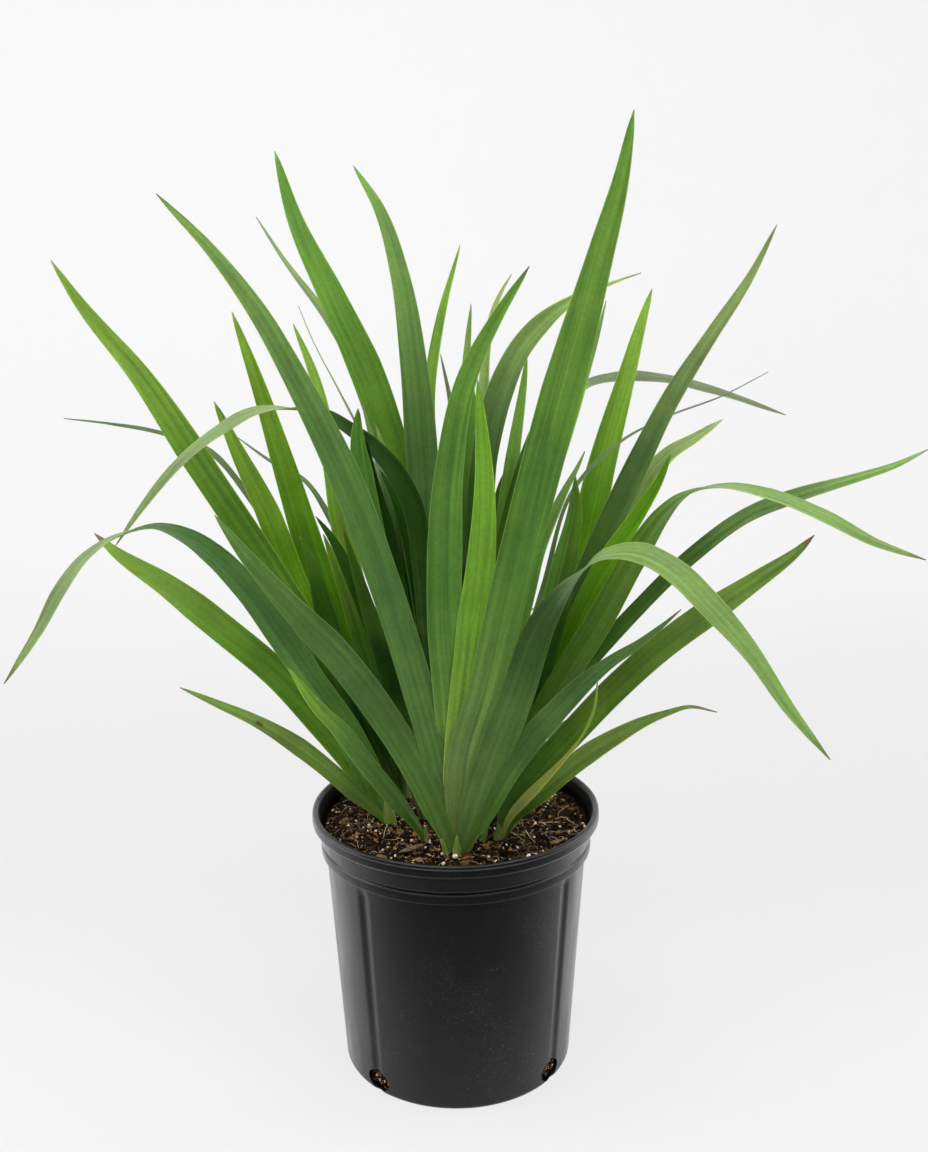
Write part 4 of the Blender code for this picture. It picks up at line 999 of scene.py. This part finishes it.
def make_named_bark(material):
    """The bark chips that show in the photograph: long flat lumps, each in its own direction."""
    rng = np.random.default_rng(78)
    ball, ball_faces = lump_surface(9, 14)
    parts, tones = [], []
    for x, y, length, width, turn, tone in BARK_PLACES:
        shape = ball * (1 + rng.uniform(-0.10, 0.10, (len(ball), 1)))
        shape = shape * np.array((length / 2, width / 2, 0.8 + width / 8)) * MM
        angle = math.radians(turn)
        east = shape[:, 0] * math.cos(angle) - shape[:, 1] * math.sin(angle) + x * MM
        north = shape[:, 0] * math.sin(angle) + shape[:, 1] * math.cos(angle) + y * MM
        height = soil_height(np.array([x * MM]), np.array([y * MM]))[0] + 0.6 * MM
        parts.append((np.stack([east, north, shape[:, 2] + height], -1), ball_faces))
        tones.append(np.tile(tone, (len(ball), 1)))
    vertices, faces = gather(parts)
    return add_piece("bark_splinters", vertices, faces, material, {"tone": np.concatenate(tones)})


def thread(points, thickness, sides=7, rows=26):
    """Root: a thin round section along a smooth curve, drawn in at both ends."""
    line = smooth_curve(points, rows)
    along = unit(np.gradient(line, axis=0))
    side = unit(np.cross(along, (0.0, 0.0, 1.0)))
    up = np.cross(side, along)
    around = round_steps(sides)
    girth = thickness / 2 * np.sin(np.linspace(0.12, math.pi - 0.12, rows)) ** 0.35
    ring = side[:, None] * np.cos(around)[None, :, None] + up[:, None] * np.sin(around)[None, :, None]
    rings = line[:, None] + ring * girth[:, None, None]
    return shell(rings, line[0], line[-1])


def laid_line(spots, rng, low, high, sink):
    """Line over the soil, each point from low to high mm above it and both ends sunk by some mm."""
    height = soil_height(spots[:, 0], spots[:, 1]) + rng.uniform(low, high, len(spots)) * MM
    height[[0, -1]] -= sink * MM
    return np.column_stack([spots, height])


def make_roots(material):
    """Fine roots and fibres: those that show in the photograph, then short random curls."""
    rng = np.random.default_rng(31)
    parts, tones = [], []
    for thickness, places in ROOT_PLACES:
        line = laid_line(np.array(places) * MM, rng, 0.4, 1.6, 1.2)
        parts.append(thread(line, thickness * MM))
        tones.append(ROOT_TONE)
    for x, y in zip(*scatter(rng, FIBRE_COUNT, 72 * MM)):
        heading = rng.uniform(0, FULL_TURN)
        steps = np.cumsum(np.stack([np.cos(heading + rng.normal(0, 0.6, 5)),
                                    np.sin(heading + rng.normal(0, 0.6, 5))], -1), axis=0)
        spots = np.array((x, y)) + steps * rng.uniform(1.0, 3.2) * MM
        spots = spots[np.hypot(spots[:, 0], spots[:, 1]) < 75 * MM]
        if len(spots) < 3:
            continue
        line = laid_line(spots, rng, 0.2, 1.2, 1.0)
        parts.append(thread(line, rng.uniform(0.14, 0.30) * MM, 5, 16))
        tones.append(np.array(FIBRE_TONE) * rng.uniform(0.3, 1.3))
    vertices, faces = gather(parts)
    spread = np.concatenate([np.tile(tone, (len(part[0]), 1)) for part, tone in zip(parts, tones)])
    return add_piece("fine_roots", vertices, faces, material, {"tone": spread})


class Recipe:
    """A material's node tree while it is put together; every step gives back its output socket."""

    def __init__(self, name):
        self.material = bpy.data.materials.new(name)
        self.material.use_nodes = True
        self.tree = self.material.node_tree
        self.tree.nodes.clear()
        self.output = self.tree.nodes.new("ShaderNodeOutputMaterial")

    def node(self, kind, inputs, **settings):
        """New node with its settings, its inputs linked to sockets or set to values."""
        made = self.tree.nodes.new(kind)
        for key, value in settings.items():
            setattr(made, key, value)
        for key, value in inputs.items():
            if isinstance(value, bpy.types.NodeSocket):
                self.tree.links.new(value, made.inputs[key])
            else:
                made.inputs[key].default_value = value
        return made

    def place(self):
        """Place on the object in metres."""
        return self.node("ShaderNodeTexCoord", {}).outputs["Object"]

    def mark(self, name, part="Vector"):
        """A value that the mesh carries at its vertices."""
        return self.node("ShaderNodeAttribute", {}, attribute_name=name).outputs[part]

    def noise(self, vector, scale, detail, roughness):
        """Soft noise of 0..1, about 0.5; the scale is a number, or one for each axis."""
        if isinstance(scale, tuple):
            vector = self.node("ShaderNodeMapping", {"Vector": vector, "Scale": scale}).outputs[0]
            scale = 1.0
        inputs = {"Vector": vector, "Scale": scale, "Detail": detail, "Roughness": roughness}
        return self.node("ShaderNodeTexNoise", inputs).outputs[0]

    def maths(self, operation, first, second=0.0):
        """Result of one operation on numbers."""
        return self.node("ShaderNodeMath", {0: first, 1: second}, operation=operation).outputs[0]

    def plus(self, first, second):
        """Sum of two numbers."""
        return self.maths("ADD", first, second)

    def times(self, first, second):
        """Product of two numbers."""
        return self.maths("MULTIPLY", first, second)

    def away(self, value, level):
        """Distance of a number from a level."""
        return self.maths("ABSOLUTE", self.maths("SUBTRACT", value, level))

    def band(self, value, low, high, start=0.0, end=1.0):
        """Start below low, end above high, smooth between."""
        inputs = {"Value": value, "From Min": low, "From Max": high, "To Min": start, "To Max": end}
        made = self.node("ShaderNodeMapRange", inputs, interpolation_type="SMOOTHSTEP")
        return made.outputs[0]

    def part(self, vector, axis):
        """One number of a vector."""
        return self.node("ShaderNodeSeparateXYZ", {"Vector": vector}).outputs[axis]

    def blend(self, share, first, second, way="MIX"):
        """Mix of two colours, or the first multiplied by the second with way MULTIPLY."""
        first, second = ((*colour, 1) if isinstance(colour, tuple) else colour for colour in (first, second))
        inputs = {0: share, 6: first, 7: second}
        made = self.node("ShaderNodeMix", inputs, data_type="RGBA", blend_type=way)
        return made.outputs[2]

    def shaded(self, colour, factor):
        """Colour times a number."""
        grey = self.node("ShaderNodeCombineColor", {0: factor, 1: factor, 2: factor}).outputs[0]
        return self.blend(1.0, colour, grey, "MULTIPLY")

    def relief(self, height, depth, strength=1.0, below=None):
        """Surface direction over a height of 0..1 that stands for a depth, on top of one below."""
        inputs = {"Height": height, "Distance": depth, "Strength": strength}
        if below is not None:
            inputs["Normal"] = below
        return self.node("ShaderNodeBump", inputs).outputs[0]

    def skin(self, colour, roughness, gloss, normal):
        """Opaque surface; gloss is the strength of its mirror."""
        inputs = {"Base Color": colour, "Roughness": roughness, "Specular IOR Level": gloss,
                  "Normal": normal}
        return self.node("ShaderNodeBsdfPrincipled", inputs)

    def finish(self, shader):
        """The material, with this shader on its surface."""
        self.tree.links.new(shader.outputs[0], self.output.inputs[0])
        return self.material


def leaf_finish():
    """Living leaf: satin skin with fine lengthwise veins, painted shade in a crease by the midrib, a thin
    pale edge.

    The veins are noise stretched along the blade's own millimetres. A share of the light passes
    through the blade and comes out yellower.
    """
    recipe = Recipe("leaf_satin")
    blade = recipe.mark("blade")
    tone = recipe.mark("tone", "Color")
    margin = recipe.mark("margin", "Fac")
    place = recipe.place()
    fine = recipe.noise(blade, (2.4, 0.012, 1.0), 3.0, 0.6)
    veins = recipe.noise(blade, (0.95, 0.006, 1.0), 2.0, 0.5)
    broad = recipe.noise(blade, (0.30, 0.004, 1.0), 1.0, 0.4)
    patches = recipe.noise(place, 28.0, 3.0, 0.55)
    mottle = recipe.noise(place, 420.0, 3.0, 0.6)
    freckles = recipe.noise(place, 900.0, 2.0, 0.6)
    # broad and fine stripes, then slow changes over the leaf
    colour = tone
    for pattern, low, high in ((broad, 0.90, 1.10), (veins, 0.90, 1.12), (fine, 0.92, 1.08),
                               (patches, 0.88, 1.12), (mottle, 0.93, 1.07)):
        colour = recipe.shaded(colour, recipe.band(pattern, 0.30, 0.70, low, high))
    warm = recipe.blend(recipe.band(patches, 0.45, 0.75, 0.0, 0.22), colour, WARM_TONE)
    # painted shade in a crease that comes and goes near the midrib, and a painted lighter streak beside it
    presence = recipe.noise(blade, (0.0, 0.016, 3.1), 1.0, 0.4)
    wander = recipe.noise(blade, (0.0, 0.006, 1.7), 1.0, 0.4)
    across = recipe.plus(recipe.part(blade, 0), recipe.band(wander, 0.25, 0.75, -3.0, 3.0))
    line = recipe.band(recipe.maths("ABSOLUTE", across), 0.0, 1.5, 1.0, 0.0)
    broad_enough = recipe.band(margin, 2.0, 5.0)
    strength = recipe.times(recipe.band(presence, 0.42, 0.66, 0.0, 0.30), broad_enough)
    colour = recipe.blend(recipe.times(line, strength), warm, CREASE_SHADE_TONE)
    colour = recipe.shaded(colour, recipe.band(recipe.away(across, 2.4), 0.0, 1.6, 1.12, 1.0))
    colour = recipe.blend(recipe.band(freckles, 0.70, 0.76, 0.0, 0.35), colour, FRECKLE_TONE)
    edge = recipe.blend(1.0, tone, EDGE_GAIN, "MULTIPLY")
    colour = recipe.blend(recipe.band(margin, 0.12, 0.50, 0.60, 0.0), colour, edge)
    height = recipe.plus(recipe.times(fine, 0.6), recipe.times(veins, 1.4))
    normal = recipe.relief(height, 0.05 * MM, 0.8)
    skin = recipe.skin(colour, recipe.band(patches, 0.30, 0.70, 0.38, 0.50), 0.22, normal)
    through = recipe.blend(1.0, colour, THROUGH_GAIN, "MULTIPLY")
    glow = recipe.node("ShaderNodeBsdfTranslucent", {"Color": through, "Normal": normal})
    mixed = recipe.node("ShaderNodeMixShader", {0: THROUGH_SHARE, 1: skin.outputs[0], 2: glow.outputs[0]})
    return recipe.finish(mixed)


def pot_finish():
    """Black moulded plastic: orange peel, streaks, painted highlight lines and painted shade at the moulded
    bands, scuffs and dry dust.
    """
    recipe = Recipe("pot_black_plastic")
    place = recipe.place()
    peel = recipe.noise(place, 700.0, 2.0, 0.5)
    streaks = recipe.noise(place, (60.0, 60.0, 9.0), 4.0, 0.65)
    smears = recipe.noise(place, 22.0, 4.0, 0.6)
    specks = recipe.noise(place, 1300.0, 2.0, 0.6)
    dust = recipe.times(recipe.band(specks, 0.64, 0.72), recipe.band(smears, 0.40, 0.64))
    scratches = recipe.noise(place, (700.0, 700.0, 40.0), 3.0, 0.7)
    scuffs = recipe.times(recipe.band(scratches, 0.68, 0.74), recipe.band(smears, 0.50, 0.72))
    height = recipe.part(place, 2)
    # painted highlights: light lines along the moulded edges, where the top light catches them
    ledge_highlights = 0.0
    for level, share in POT_HIGHLIGHT_LINES:
        lit_line = recipe.band(recipe.away(height, level), 0.10 * MM, 0.55 * MM, share, 0.0)
        ledge_highlights = recipe.plus(lit_line, ledge_highlights)
    colour = recipe.blend(recipe.band(smears, 0.4, 0.75), *PLASTIC_TONES)
    # painted shade in the grooves and under the lip and bead
    for level, reach in POT_SHADED_RECESSES:
        deep = recipe.band(recipe.away(height, level), 0.3 * reach, reach, 1.0, 0.0)
        colour = recipe.blend(deep, colour, RECESS_SHADE_TONE)
    colour = recipe.blend(ledge_highlights, colour, LEDGE_HIGHLIGHT_TONE)
    colour = recipe.blend(recipe.times(scuffs, 0.10), colour, SCUFF_TONE)
    colour = recipe.blend(recipe.times(dust, 0.50), colour, DUST_TONE)
    rough = recipe.plus(recipe.band(streaks, 0.35, 0.70, 0.30, 0.42), recipe.times(dust, 0.3))
    normal = recipe.relief(streaks, 0.05 * MM, 0.35, recipe.relief(peel, 0.03 * MM, 0.5))
    return recipe.finish(recipe.skin(colour, rough, 0.30, normal))


def soil_finish():
    """Damp potting mix between the crumbs: nearly black, with rusty grain and fine grit."""
    recipe = Recipe("potting_mix_bed")
    place = recipe.place()
    grain = recipe.noise(place, 650.0, 4.0, 0.7)
    lumps = recipe.noise(place, 160.0, 3.0, 0.6)
    colour = recipe.blend(recipe.band(grain, 0.42, 0.72), *BED_TONES)
    colour = recipe.shaded(colour, recipe.band(lumps, 0.30, 0.70, 0.5, 1.4))
    normal = recipe.relief(recipe.plus(grain, lumps), 0.8 * MM)
    return recipe.finish(recipe.skin(colour, 0.88, 0.05, normal))


def grain_finish(name, scale, depth, low, high, roughness, gloss):
    """Loose grains: each one's own tone, mottled by noise, with a grainy skin."""
    recipe = Recipe(name)
    place = recipe.place()
    mottle = recipe.noise(place, scale, 3.0, 0.6)
    colour = recipe.shaded(recipe.mark("tone", "Color"), recipe.band(mottle, 0.3, 0.7, low, high))
    return recipe.finish(recipe.skin(colour, roughness, gloss, recipe.relief(mottle, depth, 0.8)))


def bark_finish():
    """Bark: each chip's own tone, streaked by noise drawn out along y."""
    recipe = Recipe("bark_fibre")
    place = recipe.place()
    fibres = recipe.noise(place, (900.0, 260.0, 900.0), 4.0, 0.7)
    colour = recipe.shaded(recipe.mark("tone", "Color"), recipe.band(fibres, 0.3, 0.7, 0.45, 1.45))
    return recipe.finish(recipe.skin(colour, 0.8, 0.12, recipe.relief(fibres, 0.3 * MM, 0.9)))


def paper_finish():
    """White studio paper: matt where it lights the plant, evenly lit where the camera sees it.

    What the camera sees is mostly an even glow that rises a little with height, plus a small share of
    the real shading, which keeps the faint shadow at the pot's foot. In the pot's sheen the paper is dim
    in front and bright at the sides, as between two white screens.
    """
    recipe = Recipe("studio_paper")
    height = recipe.part(recipe.place(), 2)
    matt = recipe.node("ShaderNodeBsdfDiffuse", {"Color": (0.80, 0.80, 0.80, 1)})
    east, north = recipe.part(recipe.place(), 0), recipe.part(recipe.place(), 1)
    slanted = recipe.maths("SUBTRACT", north, recipe.times(east, 0.12))
    far, nearer, beside = SHEEN_GLOW
    screens = recipe.plus(recipe.band(north, -0.40, -0.29, far, far + nearer),
                          recipe.band(slanted, -0.24, 0.10, 0.0, beside))
    mirrored = recipe.node("ShaderNodeEmission", {"Color": WHITE, "Strength": screens})
    shine = recipe.band(north, -0.06, 0.24, PAPER_GLOW + PAPER_NEAR, PAPER_GLOW)
    for value, low, high, more in ((north, 0.26, 1.50, PAPER_FAR), (east, -0.50, 1.20, PAPER_RIGHT),
                                   (height, 0.0, 0.50, PAPER_UP)):
        shine = recipe.plus(shine, recipe.band(value, low, high, 0.0, more))
    glow = recipe.node("ShaderNodeEmission", {"Color": WHITE, "Strength": shine})
    faint = recipe.node("ShaderNodeBsdfDiffuse", {"Color": (PAPER_SHARE, PAPER_SHARE, PAPER_SHARE, 1)})
    seen = recipe.node("ShaderNodeAddShader", {0: glow.outputs[0], 1: faint.outputs[0]})
    path = recipe.node("ShaderNodeLightPath", {})
    glossy, direct = path.outputs["Is Glossy Ray"], path.outputs["Is Camera Ray"]
    lit = recipe.node("ShaderNodeMixShader", {0: glossy, 1: matt.outputs[0], 2: mirrored.outputs[0]})
    paper = recipe.node("ShaderNodeMixShader", {0: direct, 1: lit.outputs[0], 2: seen.outputs[0]})
    return recipe.finish(paper)


def make_stage():
    """Round studio sweep: a flat floor that curves up into a low wall, open at the top."""
    floor = np.linspace(0.02, SWEEP_FLOOR, SWEEP_STEPS)
    bend = np.linspace(0, math.pi / 2 - 0.06, SWEEP_STEPS)[1:]
    radius = np.concatenate([floor, SWEEP_FLOOR + SWEEP_BEND * np.sin(bend)])
    height = np.concatenate([np.zeros(SWEEP_STEPS), SWEEP_BEND * (1 - np.cos(bend)), [SWEEP_HEIGHT]])
    radius = np.append(radius, radius[-1] + 0.08)
    angles = round_steps(SWEEP_SIDES)
    rings = on_circle(radius[:, None], height[:, None], angles[None, :])
    vertices = np.concatenate([rings.reshape(-1, 3), [(0, 0, 0)]])
    sweep = add_piece("studio_sweep", vertices, skirt(*rings.shape[:2])[:, ::-1], paper_finish())


def add_softbox(name, place, width, depth, power):
    """White area light aimed at the plant, not seen by the camera itself."""
    lamp = bpy.data.lights.new(name, "AREA")
    lamp.shape = "RECTANGLE"
    lamp.size = width
    lamp.size_y = depth
    lamp.energy = power
    box = bpy.data.objects.new(name, lamp)
    box.visible_camera = False
    aim = Vector(BOX_TARGET) - Vector(place)
    box.matrix_world = Matrix.Translation(place) @ aim.to_track_quat("-Z", "Y").to_matrix().to_4x4()
    bpy.context.scene.collection.objects.link(box)


def light_studio():
    """Soft boxes above and at both sides, and white surroundings that are dimmer on the camera's side.

    Shiny skins mirror the surroundings dimmer still on that side, as if the camera stood in a dark room.
    """
    for box in SOFT_BOXES:
        add_softbox(*box)
    world = bpy.data.worlds.new("studio_air")
    world.use_nodes = True
    nodes, links = world.node_tree.nodes, world.node_tree.links
    sky = nodes["Background"]
    direction = nodes.new("ShaderNodeTexCoord").outputs["Generated"]
    split = nodes.new("ShaderNodeSeparateXYZ")
    links.new(direction, split.inputs[0])
    choice = nodes.new("ShaderNodeMix")
    links.new(nodes.new("ShaderNodeLightPath").outputs["Is Glossy Ray"], choice.inputs["Factor"])
    for side, glow in (("A", AIR_GLOW), ("B", AIR_SHEEN)):
        fade = nodes.new("ShaderNodeMapRange")
        fade.interpolation_type = "SMOOTHSTEP"
        for name, value in zip(("From Min", "From Max", "To Min", "To Max"), (-0.9, 0.3, *glow)):
            fade.inputs[name].default_value = value
        links.new(split.outputs[1], fade.inputs["Value"])
        links.new(fade.outputs[0], choice.inputs[side])
    links.new(choice.outputs["Result"], sky.inputs["Strength"])
    bpy.context.scene.world = world
    bpy.context.scene.view_settings.view_transform = "Standard"


def place_camera():
    """Camera at the photograph's viewing angle."""
    lens = bpy.data.cameras.new("camera")
    lens.sensor_fit = "VERTICAL"
    lens.sensor_width = SENSOR
    lens.sensor_height = SENSOR
    lens.lens = LENS
    lens.clip_start = 0.01
    camera = bpy.data.objects.new("camera", lens)
    camera.matrix_world = (Matrix.Translation(EYE) @ Matrix.Rotation(math.pi / 2 - PITCH, 4, "X")
                           @ Matrix.Rotation(ROLL, 4, "Z"))
    bpy.context.scene.collection.objects.link(camera)
    bpy.context.scene.camera = camera


def main():
    """Camera, every piece with its place in the frame, then the studio round them."""
    place_camera()
    leaf = leaf_finish()
    for name, x, y, half_width, half_depth, leaves in FANS:
        fan = make_fan(name, x, y, half_width, half_depth, leaves, leaf)
        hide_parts(name)
        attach(fan, "root")
    # scale, depth, least and most shade, roughness and gloss of each grain's skin
    peat = grain_finish("peat_crumb", 900.0, 0.3 * MM, 0.3, 1.7, 0.45, 0.08)
    white = grain_finish("perlite_grain", 1400.0, 0.15 * MM, 0.8, 1.1, 0.75, 0.4)
    fibre = grain_finish("root_skin", 1200.0, 0.05 * MM, 0.75, 1.2, 0.6, 0.4)
    bark = bark_finish()
    pot = make_pot(pot_finish())
    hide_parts("pot")
    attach(pot, "root")
    bed = make_soil(soil_finish())
    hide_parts("soil")
    loose = [bed, make_peat(peat), make_perlite(white), make_bark(bark), make_named_bark(bark),
             make_roots(fibre)]
    for piece in loose:
        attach(piece, "root")
    scales = make_scales(leaf)
    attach(scales, "root")
    make_stage()
    light_studio()


main()
